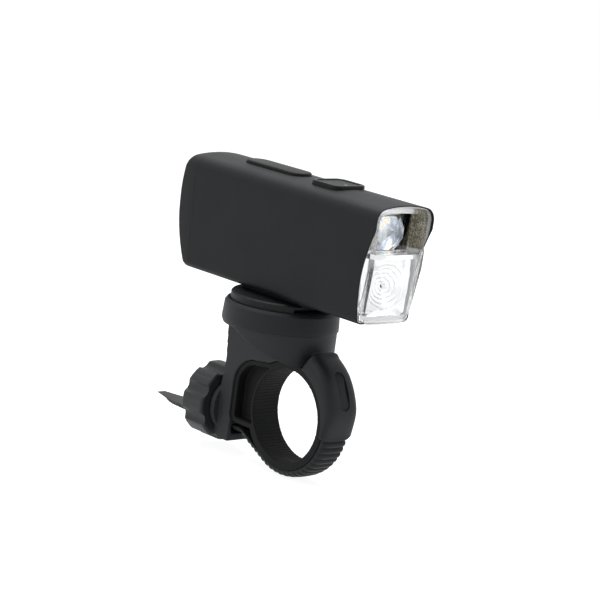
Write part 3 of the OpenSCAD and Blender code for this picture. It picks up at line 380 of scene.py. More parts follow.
collar_low, collar_high = span("head_collar")
swivel_x = (collar_low[0] + collar_high[0]) / 2
collar_r = (collar_high[0] - collar_low[0]) / 2
seam_z, collar_top = collar_low[2], collar_high[2]
COLLAR_WALL, COLLAR_CHAMFER, COLLAR_SWELL, COLLAR_SKIRT, SKIRT_DROP = 1.85, 1.0, 0.35, 0.38, 0.7
collar_mesh = turned("collar_ring", rounded_profile([
    (collar_r - COLLAR_WALL, seam_z + 0.1, 0.1),
    (collar_r - COLLAR_SKIRT, seam_z + 0.1, 0.05),
    (collar_r - COLLAR_SKIRT, seam_z - SKIRT_DROP, 0.05),
    (collar_r, seam_z - SKIRT_DROP, 0.25),
    (collar_r, seam_z + 0.9, 0.6),
    (collar_r - COLLAR_SWELL, collar_top - COLLAR_CHAMFER, 0.35),
    (collar_r - COLLAR_CHAMFER - 0.1, collar_top, 0.25),
    (collar_r - COLLAR_WALL, collar_top, 0.2),
]), swivel_x, 0)
collar_nylon = moulded("collar_nylon", (0.0155, 0.0166, 0.0187), (0.0205, 0.022, 0.0246), (0.48, 0.6), 0.2,
                       dust=0.2)
add_piece("collar_ring", smooth(collar_mesh), collar_nylon, "bracket_body", "bracket_plastic", "head_collar")


# Liner: one black rubber moulding, a ring round the bar with a hollow bow behind it that fills the
# bracket's arch. Fine ribs along the bore grip the bar. It is pushed into the arch and held by friction.
liner_low, liner_high = span("rubber_liner")
BORE_R, GRIP_RIBS, GRIP_DEPTH = 15.9, 84, 0.28
liner_rubber = moulded("liner_rubber", (0.0105, 0.0109, 0.0116), (0.0155, 0.016, 0.0168), (0.6, 0.75), 0.14,
                       scale=2200.0, depth=0.03, dust=0.5)
add_piece("liner", moulded_copy("rubber_liner", "liner", 0.28, 2, 0.4),
          liner_rubber, "bracket_body", "liner_rubber", "rubber_liner")


def node_tree(name, inputs):
    """New geometry tree with named inputs, its inputs and its end."""
    tree = bpy.data.node_groups.new(name, "GeometryNodeTree")
    socket(tree, "Geometry", "Geometry")
    for label, kind, value in inputs:
        socket(tree, label, kind, value)
    socket(tree, "Geometry", "Geometry", way="OUTPUT")
    end = make(tree, "NodeGroupOutput").inputs["Geometry"]
    return tree, make(tree, "NodeGroupInput").outputs, end


def grown(name, tree, material):
    """Runs a node tree on an empty mesh and gives back the plain mesh."""
    settings = {"node_group": tree}
    for item in tree.interface.items_tree:
        if item.item_type == "SOCKET" and item.in_out == "INPUT" and item.socket_type != "NodeSocketGeometry":
            is_finish = item.socket_type == "NodeSocketMaterial"
            settings[item.identifier] = material if is_finish else item.default_value
    return sealed(settle(name, bpy.data.meshes.new(name), [("NODES", settings)]))


def finished(tree, geometry, finish, out):
    """Ends a node tree: real geometry with its material."""
    real = make(tree, "GeometryNodeRealizeInstances", {0: geometry})
    painted = make(tree, "GeometryNodeSetMaterial", {"Geometry": real.outputs[0], "Material": finish})
    tree.links.new(painted.outputs[0], out)


grip_tree, grip_in, grip_out = node_tree("grip_ribs", (
    ("Count", "Int", GRIP_RIBS),
    ("Bore Radius", "Float", (BORE_R + 0.12) * MM),
    ("Rib Radius", "Float", GRIP_DEPTH * MM),
    ("Rib Length", "Float", float(liner_high[1] - liner_low[1] - 0.9) * MM),
    ("Finish", "Material", None),
))
grip_circle = make(grip_tree, "GeometryNodeMeshCircle", {
    "Vertices": grip_in["Count"], "Radius": grip_in["Bore Radius"],
})
grip_rod = make(grip_tree, "GeometryNodeMeshCylinder", {
    "Vertices": 10, "Radius": grip_in["Rib Radius"], "Depth": grip_in["Rib Length"],
})
grip_copies = make(grip_tree, "GeometryNodeInstanceOnPoints", {
    "Points": grip_circle.outputs["Mesh"], "Instance": grip_rod.outputs["Mesh"],
})
grip_turn = make(grip_tree, "GeometryNodeTransform", {
    "Geometry": grip_copies.outputs["Instances"], "Rotation": (math.pi / 2, 0, 0),
})
finished(grip_tree, grip_turn.outputs["Geometry"], grip_in["Finish"], grip_out)
add_piece("liner_grip", smooth(grown("liner_grip", grip_tree, liner_rubber), 50),
          liner_rubber, "bracket_body", "liner_rubber")


# Steel hardware of the head and the strap's hinge: pin, pivot screw, nut and spring washer, zinc
# plated, with a white plastic friction washer under the turntable. All of it stays hidden in use.
def metal(name, colour, roughness, brushed=900.0):
    """Plated or plain metal with fine brushed streaks in its gloss."""
    material, tree, shader = plain_material(name)
    place = make(tree, "ShaderNodeTexCoord").outputs["Object"]
    stretch = make(tree, "ShaderNodeMapping", {"Vector": place, "Scale": (1.0, 1.0, 6.0)})
    streaks = noise_of(tree, stretch.outputs["Vector"], brushed)
    fill(tree, shader, {
        "Base Color": (*colour, 1), "Metallic": 1.0,
        "Roughness": ranged(tree, streaks, roughness - 0.06, roughness + 0.08),
    })
    return material


def finish_node(node, material):
    """Gives a CAD node that keeps its shape a finish of its own."""
    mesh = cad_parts[node].data
    if not mesh.materials:
        mesh.materials.append(material)
    for i in range(len(mesh.materials)):
        mesh.materials[i] = material


zinc = metal("zinc_plate", (0.62, 0.63, 0.64), 0.3)
for node in ("hinge_pin", "pivot_screw", "pivot_nut", "spring_washer", "foot_screws"):
    finish_node(node, zinc)
washer_plastic = moulded("washer_plastic", (0.72, 0.71, 0.66), (0.62, 0.61, 0.56), (0.35, 0.45), 0.5)
finish_node("friction_washer", washer_plastic)


# Strap: one flexible nylon moulding. A broad cap hinges on the bracket's pin, a ribbed band runs
# under the bar, and a narrow toothed tail goes through the foot into the knob, which draws it tight.
tail_low_x = span("clamp_strap")[0][0]
STRAP_IN_R, STRAP_HALF_W = 18.68, 5.5
CAP_HALF_W, CAP_R, CAP_CENTRE = 7.1, 25.5, np.array((-2.56, 1.92))
CAP_LOW, CAP_TOP, HINGE_ANGLE = -8.0, 70.0, 65.0
STRAP_SLOPE, TAIL_DROP, TAIL_T = 27.0, 10.3, 2.0
RIB_PITCH, RIB_H, BAND_T = 2.2, 0.95, 1.35
strap_end = -(90 + STRAP_SLOPE)


def on_bar(angle, radius):
    """Point of the side view at an angle, in degrees, round the bar's middle."""
    a = math.radians(angle)
    return np.array((radius * math.cos(a), radius * math.sin(a)))


strap_leave = on_bar(strap_end, STRAP_IN_R)
slope_run = (strap_leave[1] + TAIL_DROP) / math.tan(math.radians(STRAP_SLOPE))
strap_bend = np.array((strap_leave[0] + slope_run, -TAIL_DROP))
STEP = 0.2


def straight(start, end):
    """Points along a straight run, without its first."""
    count = int(np.linalg.norm(end - start) / STEP)
    return [start + (end - start) * (i + 1) / count for i in range(count)]


arc_count = int(math.radians(CAP_TOP - strap_end) * STRAP_IN_R / STEP)
arc_angles = np.linspace(CAP_TOP, strap_end, arc_count)
inner_line = np.array(
    [on_bar(a, STRAP_IN_R) for a in arc_angles]
    + straight(strap_leave, strap_bend)
    + straight(strap_bend, np.array((tail_low_x, -TAIL_DROP)))
)
# the strap turns into its tail in a gentle bend
BEND_SPREAD = 9
bend_at = int(np.argmin(np.linalg.norm(inner_line - strap_bend, axis=1)))
eased = inner_line.copy()
for i in range(bend_at - BEND_SPREAD, bend_at + BEND_SPREAD + 1):
    eased[i] = inner_line[i - BEND_SPREAD:i + BEND_SPREAD + 1].mean(axis=0)
inner_line = eased
along_line = np.gradient(inner_line, axis=0)
along_line /= np.linalg.norm(along_line, axis=1)[:, None]
out_line = np.stack([-along_line[:, 1], along_line[:, 0]], axis=1)
run = np.concatenate([[0], np.cumsum(np.linalg.norm(np.diff(inner_line, axis=0), axis=1))])


def eased_step(value, low, high):
    """Smooth change from 0 to 1 between two values."""
    t = np.clip((value - low) / (high - low), 0, 1)
    return t * t * (3 - 2 * t)


def cap_height(angle):
    """Height of the cap over the strap's inner face at an angle round the bar."""
    ray = on_bar(angle, 1)
    towards = CAP_CENTRE @ ray
    return towards + math.sqrt(towards ** 2 - CAP_CENTRE @ CAP_CENTRE + CAP_R ** 2) - STRAP_IN_R


rib_start_angle = -12.0
rib_start = math.radians(CAP_TOP - rib_start_angle) * STRAP_IN_R
bend_run = run[bend_at]
CAP_SQUARE, BAND_SQUARE, TAIL_SQUARE = 3.6, 3.2, 1.6
CAP_FALL, CAP_FOOT_H = 20.0, 2.0
DROOP, DROOP_FROM = 0.7, 44.0
LIP_H, LIP_AT, LIP_SPREAD, END_EASE = 0.55, 0.9, 0.75, 0.7
TIP_LEN, TIP_HALF_W, TAIL_HALF_W, TAIL_RIB_H = 15.0, 1.7, 4.9, 0.8
TIP_SHARE, TOOTH_LEVEL = 0.35, 0.25
FLAT_STEPS, ROUND_STEPS = 8, 30


def strap_ring(i):
    """Cross-section of the strap: flat on the bar's side, crowned outside."""
    here = run[i]
    angle = arc_angles[i] if i < arc_count else strap_end - 1
    ridge = 1 - abs(math.cos(math.pi * (here - rib_start) / RIB_PITCH)) ** 4
    band = BAND_T + RIB_H * ridge
    cap = cap_height(max(angle, CAP_LOW - 4)) - DROOP * eased_step(angle, DROOP_FROM, CAP_TOP)
    cap += (CAP_FOOT_H - cap) * eased_step(-angle, -CAP_FALL, -CAP_LOW + 1)
    cap += LIP_H * math.exp(-((here - LIP_AT) / LIP_SPREAD) ** 2)
    to_band = eased_step(-angle, -CAP_LOW - 1.5, -rib_start_angle - 0.2)
    to_tail = eased_step(here, bend_run - 2.5, bend_run + 1.5)
    tooth = 1 if math.cos(2 * math.pi * (inner_line[i][0] - tail_low_x) / RIB_PITCH) > TOOTH_LEVEL else 0
    tail_end = run[-1] - here
    thin = eased_step(tail_end, -2.0, 9.0)
    tail = TAIL_T * (TIP_SHARE + (1 - TIP_SHARE) * thin) + TAIL_RIB_H * tooth * eased_step(tail_end, 4, 8)
    height = (1 - to_tail) * ((1 - to_band) * cap + to_band * band) + to_tail * tail
    half_w = (1 - to_band) * CAP_HALF_W + to_band * STRAP_HALF_W
    half_w += (TAIL_HALF_W - half_w) * to_tail
    if to_tail == 1:
        half_w = min(half_w, TIP_HALF_W + (TAIL_HALF_W - TIP_HALF_W) * tail_end / TIP_LEN)
    square = (1 - to_band) * CAP_SQUARE + to_band * BAND_SQUARE
    square += (TAIL_SQUARE - square) * to_tail
    ends = min(1.0, math.sqrt(max(0.02, 1 - max(0.0, 1 - here / END_EASE) ** 2)))
    height *= ends
    section = [(-half_w + 2 * half_w * k / FLAT_STEPS, 0.0) for k in range(FLAT_STEPS)]
    for k in range(ROUND_STEPS):
        a = math.pi * k / ROUND_STEPS
        wide = math.copysign(abs(math.cos(a)) ** (2 / square), math.cos(a))
        section.append((half_w * wide, height * math.sin(a) ** (2 / square)))
    base, out = inner_line[i], out_line[i]
    return [(base[0] + out[0] * h, y, base[1] + out[1] * h) for y, h in section]


def cut(name, mesh, *cutters):
    """Takes cutter meshes out of a closed mesh."""
    tools = []
    for cutter in cutters:
        tool = bpy.data.objects.new("cutter", cutter)
        bpy.context.scene.collection.objects.link(tool)
        tools.append(tool)
    done = settle(name, mesh, [
        ("BOOLEAN", {"operation": "DIFFERENCE", "solver": "EXACT", "object": tool}) for tool in tools
    ])
    for tool in tools:
        bpy.data.objects.remove(tool)
    return done


def prism(name, outline, low_y, high_y):
    """Straight block across the bar over an outline of the side view."""
    rings = [[(x, y, z) for x, z in outline] for y in (low_y, high_y)]
    return skin(name, rings, "caps")


# room for the bracket's hinge lug
PIN_OUT, LUG_HALF_W, LUG_ROOM, LUG_REACH, LUG_BACK = 2.2, 2.6, 2.25, 6.3, 2.1
hinge = on_bar(HINGE_ANGLE, STRAP_IN_R + PIN_OUT)
lug_outline = [hinge + LUG_ROOM * on_bar(a, 1) for a in np.linspace(-120, 60, 13)]
lug_outline += [hinge + np.array((-LUG_REACH, LUG_REACH)), hinge + np.array((-LUG_REACH, -LUG_BACK))]
lug_cutter = prism("lug_room", lug_outline, -LUG_HALF_W, LUG_HALF_W)

# long recess with round ends in the cap's face
RECESS_LOW, RECESS_HIGH, RECESS_HALF_W, RECESS_DEPTH, RECESS_TILT = 12.0, 42.0, 2.1, 0.75, 0.2


def recess_ring(share, radius):
    """Ring of the recess, a share of its size, at a radius from the cap's centre."""
    ring = []
    middle = (RECESS_LOW + RECESS_HIGH) / 2
    reach = math.radians(RECESS_HIGH - RECESS_LOW) / 2 * CAP_R
    for k in range(48):
        a = 2 * math.pi * k / 48
        s = math.copysign(reach - RECESS_HALF_W, math.cos(a)) + RECESS_HALF_W * math.cos(a)
        b = math.radians(middle) + s * share / CAP_R
        y = RECESS_HALF_W * math.sin(a) * share
        deep = radius if radius > CAP_R else radius + RECESS_TILT * y
        ring.append((CAP_CENTRE[0] + deep * math.cos(b), y, CAP_CENTRE[1] + deep * math.sin(b)))
    return ring


recess_floor, recess_top = CAP_R - RECESS_DEPTH, CAP_R + 2
recess_cutter = skin("recess", [recess_ring(s, recess_floor) for s in (0.02, 0.3, 0.6, 0.85, 1.0)]
                     + [recess_ring(s, recess_top) for s in (1.06, 0.5, 0.02)], "caps")
strap_body = skin("strap", [strap_ring(i) for i in range(len(run))], "caps")
strap_mesh = cut("strap", strap_body, lug_cutter, recess_cutter)
strap_nylon = moulded("strap_nylon", (0.0145, 0.0157, 0.0173), (0.0185, 0.02, 0.0218), (0.42, 0.54), 0.2,
                      scale=4200.0, dust=0.15)
strap = add_piece("strap", smooth(strap_mesh, 50), strap_nylon, None, "strap_plastic", "clamp_strap")
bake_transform(strap)


# Knob: a nylon nut with eight rounded lobes, turned by hand on the strap's toothed tail until it
# bears on the bracket's rear wall. Its whole shape follows one rule, so nodes lay it out.
knob_low, knob_high = span("clamp_knob")
knob_axis = (knob_low + knob_high) / 2
knob_r = (knob_high[1] - knob_low[1]) / 2
KNOB_BORE_R = 8.4


def drawn_curve(tree, value, points):
    """Value read off a drawn curve of (from, to) points between 0 and 1."""
    node = tree.nodes.new("ShaderNodeFloatCurve")
    curve = node.mapping.curves[0]
    for i, place in enumerate(points):
        point = curve.points[i] if i < 2 else curve.points.new(*place)
        point.location = place
    for point in curve.points:
        point.handle_type = "VECTOR"
    node.mapping.update()
    tree.links.new(value, node.inputs["Value"])
    return node.outputs[0]


knob_tree, knob_in, knob_out = node_tree("lobed_knob", (
    ("Around", "Int", 289),
    ("Rows", "Int", 77),
    ("Lobes", "Float", 8.0),
    ("Hollow Radius", "Float", 2.6 * MM),
    ("Hollow Depth", "Float", 1.6 * MM),
    ("Outer Radius", "Float", float(knob_r) * MM),
    ("Edge Blend", "Float", 0.7 * MM),
    ("Rear", "Float", float(knob_low[0]) * MM),
    ("Length", "Float", float(knob_high[0] - knob_low[0]) * MM),
    ("Axis Height", "Float", float(knob_axis[2]) * MM),
    ("Finish", "Material", None),
))
maths = partial(sum_of, knob_tree)
knob_grid = make(knob_tree, "GeometryNodeMeshGrid", {
    "Vertices X": knob_in["Around"], "Vertices Y": knob_in["Rows"],
})
knob_uv = make(knob_tree, "ShaderNodeSeparateXYZ", {0: knob_grid.outputs["UV Map"]}).outputs
around = maths("MULTIPLY", knob_uv["X"], 2 * math.pi)
lobe_half = maths("DIVIDE", math.pi, knob_in["Lobes"])
off_hollow = maths("SUBTRACT", lobe_half, maths("PINGPONG", around, lobe_half))
hollow_mid = maths("SUBTRACT", maths("ADD", knob_in["Outer Radius"], knob_in["Hollow Radius"]),
                   knob_in["Hollow Depth"])
hollow_side = maths("MULTIPLY", hollow_mid, maths("SINE", off_hollow))
hollow_rest = maths("SUBTRACT", maths("POWER", knob_in["Hollow Radius"], 2.0),
                    maths("POWER", hollow_side, 2.0))
hollow_face = maths("SUBTRACT", maths("MULTIPLY", hollow_mid, maths("COSINE", off_hollow)),
                    maths("SQRT", maths("MAXIMUM", hollow_rest, 0.0)))
lobed = maths("SMOOTH_MIN", hollow_face, knob_in["Outer Radius"], knob_in["Edge Blend"])
# outline of one side of the knob, from its bore over the rounded ends and back
END_ROUND, END_R, FACE_R = 1.1, 12.0, 11.0
knob_len = float(knob_high[0] - knob_low[0])
knob_line = [(1.0, KNOB_BORE_R), (1.0, 0.5 * (KNOB_BORE_R + FACE_R)), (0.995, FACE_R)]
for k in range(6):
    a = math.pi / 2 * k / 5
    back = END_ROUND / knob_len * (1 - math.cos(a))
    knob_line.append((1 - back, END_R + (knob_r + 0.05 - END_R) * math.sin(a)))
knob_line += [(1 - x, r) for x, r in reversed(knob_line)]
knob_line.append(knob_line[0])
line_places = [i / (len(knob_line) - 1) for i in range(len(knob_line))]
GAUGE_R = 15.0
along_knob = drawn_curve(knob_tree, knob_uv["Y"], [(t, x) for t, (x, r) in zip(line_places, knob_line)])
limit = maths("MULTIPLY", GAUGE_R * MM, drawn_curve(
    knob_tree, knob_uv["Y"], [(t, r / GAUGE_R) for t, (x, r) in zip(line_places, knob_line)]))
knob_radius = maths("SMOOTH_MIN", lobed, limit, 0.5 * MM)
knob_point = make(knob_tree, "ShaderNodeCombineXYZ", enumerate((
    maths("MULTIPLY_ADD", along_knob, knob_in["Length"], knob_in["Rear"]),
    maths("MULTIPLY", knob_radius, maths("SINE", around)),
    maths("MULTIPLY_ADD", knob_radius, maths("COSINE", around), knob_in["Axis Height"]),
)))
knob_place = make(knob_tree, "GeometryNodeSetPosition", {
    "Geometry": knob_grid.outputs["Mesh"], "Position": knob_point.outputs[0],
})
finished(knob_tree, knob_place.outputs[0], knob_in["Finish"], knob_out)
knob_nylon = moulded("knob_nylon", (0.02, 0.0212, 0.023), (0.026, 0.0275, 0.0298), (0.4, 0.52), 0.3, dust=0.2)
knob_mesh = smooth(grown("knob", knob_tree, knob_nylon), 40)
add_piece("knob", knob_mesh, knob_nylon, "knob_body", "bracket_plastic", "clamp_knob")


# Turntable: a nylon disc that turns in the collar, held down by the pivot screw. A T-shaped channel
# across its top, open at the front, takes the lamp's foot. Its top edge is bevelled, and pale dust lies on it.
disc_low, disc_high = span("turntable")
disc_r = (disc_high[1] - disc_low[1]) / 2
DISC_LOW_R, DISC_STEP_Z, DISC_BEVEL, CHANNEL_Z, RAIL_LIP = 16.09, 31.6, 0.55, 35.7, 1.1
FOOT_STOP_X, FLANGE_HALF_W, NECK_HALF_W, RAIL_GAP = -28.2, 9.0, 6.5, 0.1
WELL_R, WELL_Z, SCREW_HOLE_R = 3.9, 31.35, 1.8


def block(name, low, high):
    """Box-shaped cutter between two corners."""
    corners = [(low[0], low[2]), (high[0], low[2]), (high[0], high[2]), (low[0], high[2])]
    return prism(name, corners, low[1], high[1])


def rod(name, x, y, radius, low_z, high_z):
    """Upright round cutter."""
    return turned(name, [(0, low_z), (radius, low_z), (radius, high_z), (0, high_z)], x, y, 48)


disc_mesh = turned("turntable_disc", rounded_profile([
    (0, disc_low[2], 0), (DISC_LOW_R, disc_low[2], 0.3),
    (DISC_LOW_R, DISC_STEP_Z, 0.1), (disc_r, DISC_STEP_Z, 0.3),
    (disc_r, disc_high[2] - DISC_BEVEL, 0.15), (disc_r - DISC_BEVEL, disc_high[2], 0.15),
    (0, disc_high[2], 0),
]), swivel_x, 0)
rail_half, slot_half = FLANGE_HALF_W + RAIL_GAP, NECK_HALF_W + RAIL_GAP
disc_front, rail_top = swivel_x + disc_r + 1, disc_high[2] - RAIL_LIP
disc_mesh = cut(
    "turntable_disc", disc_mesh,
    block("rail_room", (FOOT_STOP_X, -rail_half, CHANNEL_Z), (disc_front, rail_half, rail_top)),
    block("neck_room", (FOOT_STOP_X, -slot_half, CHANNEL_Z), (disc_front, slot_half, disc_high[2] + 1)),
    rod("screw_well", swivel_x, 0, WELL_R, WELL_Z, CHANNEL_Z + 1),
    rod("screw_hole", swivel_x, 0, SCREW_HOLE_R, disc_low[2] - 1, WELL_Z + 1),
)
# painted shade: the disc's colour is darker than the collar's, standing in for the shadow the lamp casts on it
shaded_disc_nylon = moulded("turntable_nylon_painted_shade", (0.0075, 0.0079, 0.0089), (0.011, 0.0115, 0.0128), (0.4, 0.55), 0.18,
                     dust=0.9)
add_piece("turntable_disc", smooth(disc_mesh), shaded_disc_nylon, "turntable_body", "bracket_plastic", "turntable")


# Foot: the lamp's T-rail, a separate moulding screwed under the housing with two small screws. It
# slides backwards into the turntable's channel until it meets the stop.
shell_coat = moulded("shell_coat", (0.0095, 0.0103, 0.0116), (0.011, 0.0119, 0.0133), (0.5, 0.6), 0.17,
                     scale=5200.0, depth=0.012)
add_piece("foot_rail", moulded_copy("lamp_foot", "foot_rail", 0.3, 2, 0.4),
          shell_coat, "lamp_body", "shell_plastic", "lamp_foot")


# Housing: the lamp's moulded tube, soft-touch coated. Its top is slightly crowned, the sides taper to
# the floor, and the front edge curves back under a short visor. The cap, lens and switch are glued in.
house_low, house_high = span("housing")
CAP_X, LAMP_Z = float(house_low[0]), float(house_low[2])
LAMP_FRONT, LAMP_TOP = float(house_high[0]), float(house_high[2])
LAMP_HALF_W, SIDE_TAPER, TOP_R, BOTTOM_R, CROWN_R = 13.2, 1.2, 4.6, 2.4, 50.0
WALL, VISOR_H, EDGE_BACK, EDGE_HOLLOW_H, EDGE_TOE, VISOR_STEP = 1.8, 30.9, 4.6, 11.3, 0.5, 0.3


def arc_points(middle, radius, first, last, steps):
    """Points along an arc between two angles."""
    angles = np.linspace(first, last, steps + 1)
    return [(middle[0] + radius * math.cos(a), middle[1] + radius * math.sin(a)) for a in angles]


def lamp_section(inset, stretch=12):
    """Outline across the lamp, set in by a distance, as points (y, z)."""
    upright = math.pi / 2
    shoulder, base = LAMP_HALF_W - inset, LAMP_HALF_W - SIDE_TAPER - inset
    top_r, bottom_r, crown_r = max(TOP_R - inset, 0.6), max(BOTTOM_R - inset, 0.5), CROWN_R - inset
    crown_mid = LAMP_TOP - CROWN_R
    lean = math.asin((shoulder - top_r) / (crown_r - top_r))
    low = arc_points((base - bottom_r, LAMP_Z + inset + bottom_r), bottom_r, -upright, 0, 8)
    top_z = crown_mid + (crown_r - top_r) * math.cos(lean)
    high = arc_points((shoulder - top_r, top_z), top_r, 0, upright - lean, 12)
    side = [tuple(p) for p in np.linspace(low[-1], high[0], stretch + 1)[1:-1]]
    crown = arc_points((0, crown_mid), crown_r, upright - lean, upright, 10)[1:]
    half = low + side + high + crown
    floor_points = [(y, LAMP_Z + inset) for y in np.linspace(0, half[0][0], 7)[1:-1]]
    half = [(0.0, LAMP_Z + inset)] + floor_points + half
    return half + [(-y, z) for y, z in reversed(half[1:-1])]


def front_x(z):
    """Front edge of the housing at a height."""
    h = z - LAMP_Z
    if h >= VISOR_H:
        return LAMP_FRONT
    share = (h - EDGE_HOLLOW_H) / (EDGE_HOLLOW_H if h < EDGE_HOLLOW_H else VISOR_H - EDGE_HOLLOW_H)
    return LAMP_FRONT - EDGE_BACK + (EDGE_TOE if h < EDGE_HOLLOW_H else EDGE_BACK - VISOR_STEP) * share ** 2


def house_ring(inset, share, back=0.0):
    """Ring of the housing, a share of the way from its rear end to its front edge."""
    return [(CAP_X + (front_x(z) - back - CAP_X) * share, y, z) for y, z in lamp_section(inset)]


LIP_T, LIP_TAPER = 0.4, 9.0
house_rings = [house_ring(0, s) for s in (0.0, 0.1, 0.3, 0.5, 0.7, 0.85)]
house_rings += [house_ring(0, 1, b) for b in (2.0, 0.8, 0.3)]
house_rings += [house_ring(i, 1, b) for i, b in ((0.05, 0.1), (0.15, 0), (LIP_T - 0.08, 0), (LIP_T, 0.1))]
house_rings += [house_ring(WALL, 1, LIP_TAPER)] + [house_ring(WALL, s) for s in (0.75, 0.5, 0.25, 0.0)]
cover_low, cover_high = span("port_cover")
rim_low, rim_high = span("button_frame")
socket_low, socket_high = span("charge_socket")
PORT_GAP, SOCKET_GAP, PORT_FLOOR_Z = 0.2, 0.2, LAMP_TOP - 1.3


def slab(name, outline, low_z, high_z):
    """Upright block over an outline seen from above."""
    return skin(name, [[(x, y, z) for x, y in outline] for z in (low_z, high_z)], "caps")


def round_outline(low, high, radius, gap=0.0, steps=10):
    """Rectangle seen from above with round corners, grown by a gap."""
    x0, y0, x1, y1 = low[0] - gap, low[1] - gap, high[0] + gap, high[1] + gap
    corners = [(x, y, radius + gap) for x, y in ((x0, y0), (x1, y0), (x1, y1), (x0, y1))]
    return [tuple(p) for p in rounded_profile(corners, steps)]


cover_r = (cover_high[1] - cover_low[1]) / 2 - 0.02
RIM_R, RIM_RING = 3.2, 1.5
house_mesh = cut(
    "housing_shell", skin("housing_shell", house_rings),
    slab("port_recess", round_outline(cover_low, cover_high, cover_r, PORT_GAP), PORT_FLOOR_Z, LAMP_TOP + 2),
    block("socket_hole", (socket_low[0] - SOCKET_GAP, socket_low[1] - SOCKET_GAP, LAMP_TOP - 4),
          (socket_high[0] + SOCKET_GAP, socket_high[1] + SOCKET_GAP, LAMP_TOP)),
    slab("button_hole", round_outline(rim_low, rim_high, RIM_R, 0.1), LAMP_TOP - 4, LAMP_TOP + 2),
)
add_piece("housing_shell", smooth(house_mesh, 30), shell_coat, "lamp_body", "shell_plastic", "housing")


# Rear cap: closes the tube with a domed end in the same coat. Its skirt reaches into the housing and
# carries a silicone gasket in a groove; the joint outside is a hairline.
REAR_R, REAR_MID_H, REAR_PLAN_R, REAR_ROUND = 50.0, 22.3, 600.0, 1.3
SKIRT_WALL, SEAL_T, SKIRT_GAP, GROOVE_GAP, CAP_SEAM = 1.6, 0.75, 0.1, 0.03, 0.05
cap_low, cap_high = span("rear_cap")
seal_low, seal_high = span("cap_seal")
rear_x = float(cap_low[0])
lamp_middle = np.array((0.0, LAMP_Z + REAR_MID_H))


def rear_face(y, z):
    """Place of the domed face along the lamp."""
    side = REAR_R - math.sqrt(REAR_R ** 2 - (z - lamp_middle[1]) ** 2)
    plan = REAR_PLAN_R - math.sqrt(REAR_PLAN_R ** 2 - y ** 2)
    return rear_x + math.hypot(side, plan)


def rear_ring(inset, inside=0.0):
    """Ring of the rounded edge between the cap's side and its domed face."""
    over = max(0.0, REAR_ROUND - inset)
    ease = REAR_ROUND - math.sqrt(REAR_ROUND ** 2 - over ** 2)
    return [(rear_face(y, z) + ease + inside, y, z) for y, z in lamp_section(inset + inside)]


def dome_ring(share, inside=0.0):
    """Ring of the domed face, a share of the way out from its middle."""
    ring = []
    for point in lamp_section(REAR_ROUND + inside):
        y, z = lamp_middle + (np.array(point) - lamp_middle) * share
        ring.append((rear_face(y, z) + inside, y, z))
    return ring


def flat_ring(inset, x):
    """Ring straight across the lamp, set in by a distance."""
    return [(x, y, z) for y, z in lamp_section(inset)]


edge_insets = [REAR_ROUND * (1 - math.cos(math.radians(a))) for a in (8, 20, 32, 45, 58, 70, 80)]
dome_shares = (1.0, 0.85, 0.65, 0.45, 0.25, 0.1, 0.0)
in_skirt = WALL + SKIRT_GAP
cap_wall = in_skirt + SKIRT_WALL
cap_rings = [flat_ring(0, CAP_X - CAP_SEAM)] + [rear_ring(i) for i in edge_insets]
cap_rings += [dome_ring(s) for s in dome_shares]
cap_rings += [dome_ring(s, cap_wall) for s in reversed(dome_shares)]
skirt_x, in_groove = float(cap_high[0]), in_skirt + SEAL_T
groove_low, groove_high = float(seal_low[0]) - GROOVE_GAP, float(seal_high[0]) + GROOVE_GAP
for inset, x in (
    (cap_wall, skirt_x), (in_skirt, skirt_x), (in_skirt, groove_high), (in_groove, groove_high),
    (in_groove, groove_low), (in_skirt, groove_low), (in_skirt, CAP_X - CAP_SEAM),
):
    cap_rings.append(flat_ring(inset, x))
add_piece("rear_cap_shell", smooth(skin("rear_cap_shell", cap_rings), 40), shell_coat,
          "lamp_body", "shell_plastic", "rear_cap")
finish_node("cap_seal", moulded("silicone", (0.25, 0.08, 0.06), (0.3, 0.1, 0.07), (0.5, 0.6), 0.4))


# Lens: a clear polycarbonate cup, bulged in front of the dish, with an open niche above its shelf.
# It is glued into the housing's mouth against a pale silicone gasket. Behind it a bright lining is painted
# reflection, standing in for the light that its clear walls show.
def clear(name, tint, roughness, ior, through_share=1.0):
    """Clear plastic that lets the light through to the parts behind it."""
    material, tree, shader = plain_material(name)
    place = make(tree, "ShaderNodeTexCoord").outputs["Object"]
    cloud = noise_of(tree, place, 160.0, 3.0)
    fill(tree, shader, {
        "Base Color": (*tint, 1), "Transmission Weight": through_share, "IOR": ior,
        "Roughness": ranged(tree, cloud, roughness * 0.6, roughness * 1.4, 0.3, 0.7),
    })
    through = make(tree, "ShaderNodeBsdfTransparent", {"Color": (*tint, 1)})
    is_shadow = make(tree, "ShaderNodeLightPath").outputs["Is Shadow Ray"]
    either = make(tree, "ShaderNodeMixShader", {0: is_shadow, 1: shader.outputs[0], 2: through.outputs[0]})
    tree.links.new(either.outputs[0], tree.nodes["Material Output"].inputs["Surface"])
    return material


clear_lens = clear("clear_polycarbonate", (0.985, 0.99, 0.995), 0.03, 1.46, 0.97)
SHELF_H, SHELF_T, NICHE_BACK_X, NICHE_FRONT_X, LENS_WALL = 22.7, 1.6, 28.2, 36.2, 0.9
SHELF_Z = LAMP_Z + SHELF_H
LENS_FLUSH, LENS_IN, LENS_ROUND, RAKE_H = 0.12, 1.95, 0.6, 18.5
CORNER_LOW, CORNER_HIGH, MIDDLE_LOW, MIDDLE_HIGH = 32.5, 35.7, 35.9, 37.2
BEZEL_GAP, BEZEL_T = 0.04, 0.25
BEHIND_BEZEL = LIP_T + BEZEL_T + 2 * BEZEL_GAP


def lens_face(y, z):
    """Front of the lens: bulged across and leaning back towards the floor."""
    up = min(1.0, (z - LAMP_Z) / RAKE_H)
    corner = CORNER_LOW + (CORNER_HIGH - CORNER_LOW) * up
    middle = MIDDLE_LOW + (MIDDLE_HIGH - MIDDLE_LOW) * up
    return corner + (middle - corner) * (1 - (y / LAMP_HALF_W) ** 2)


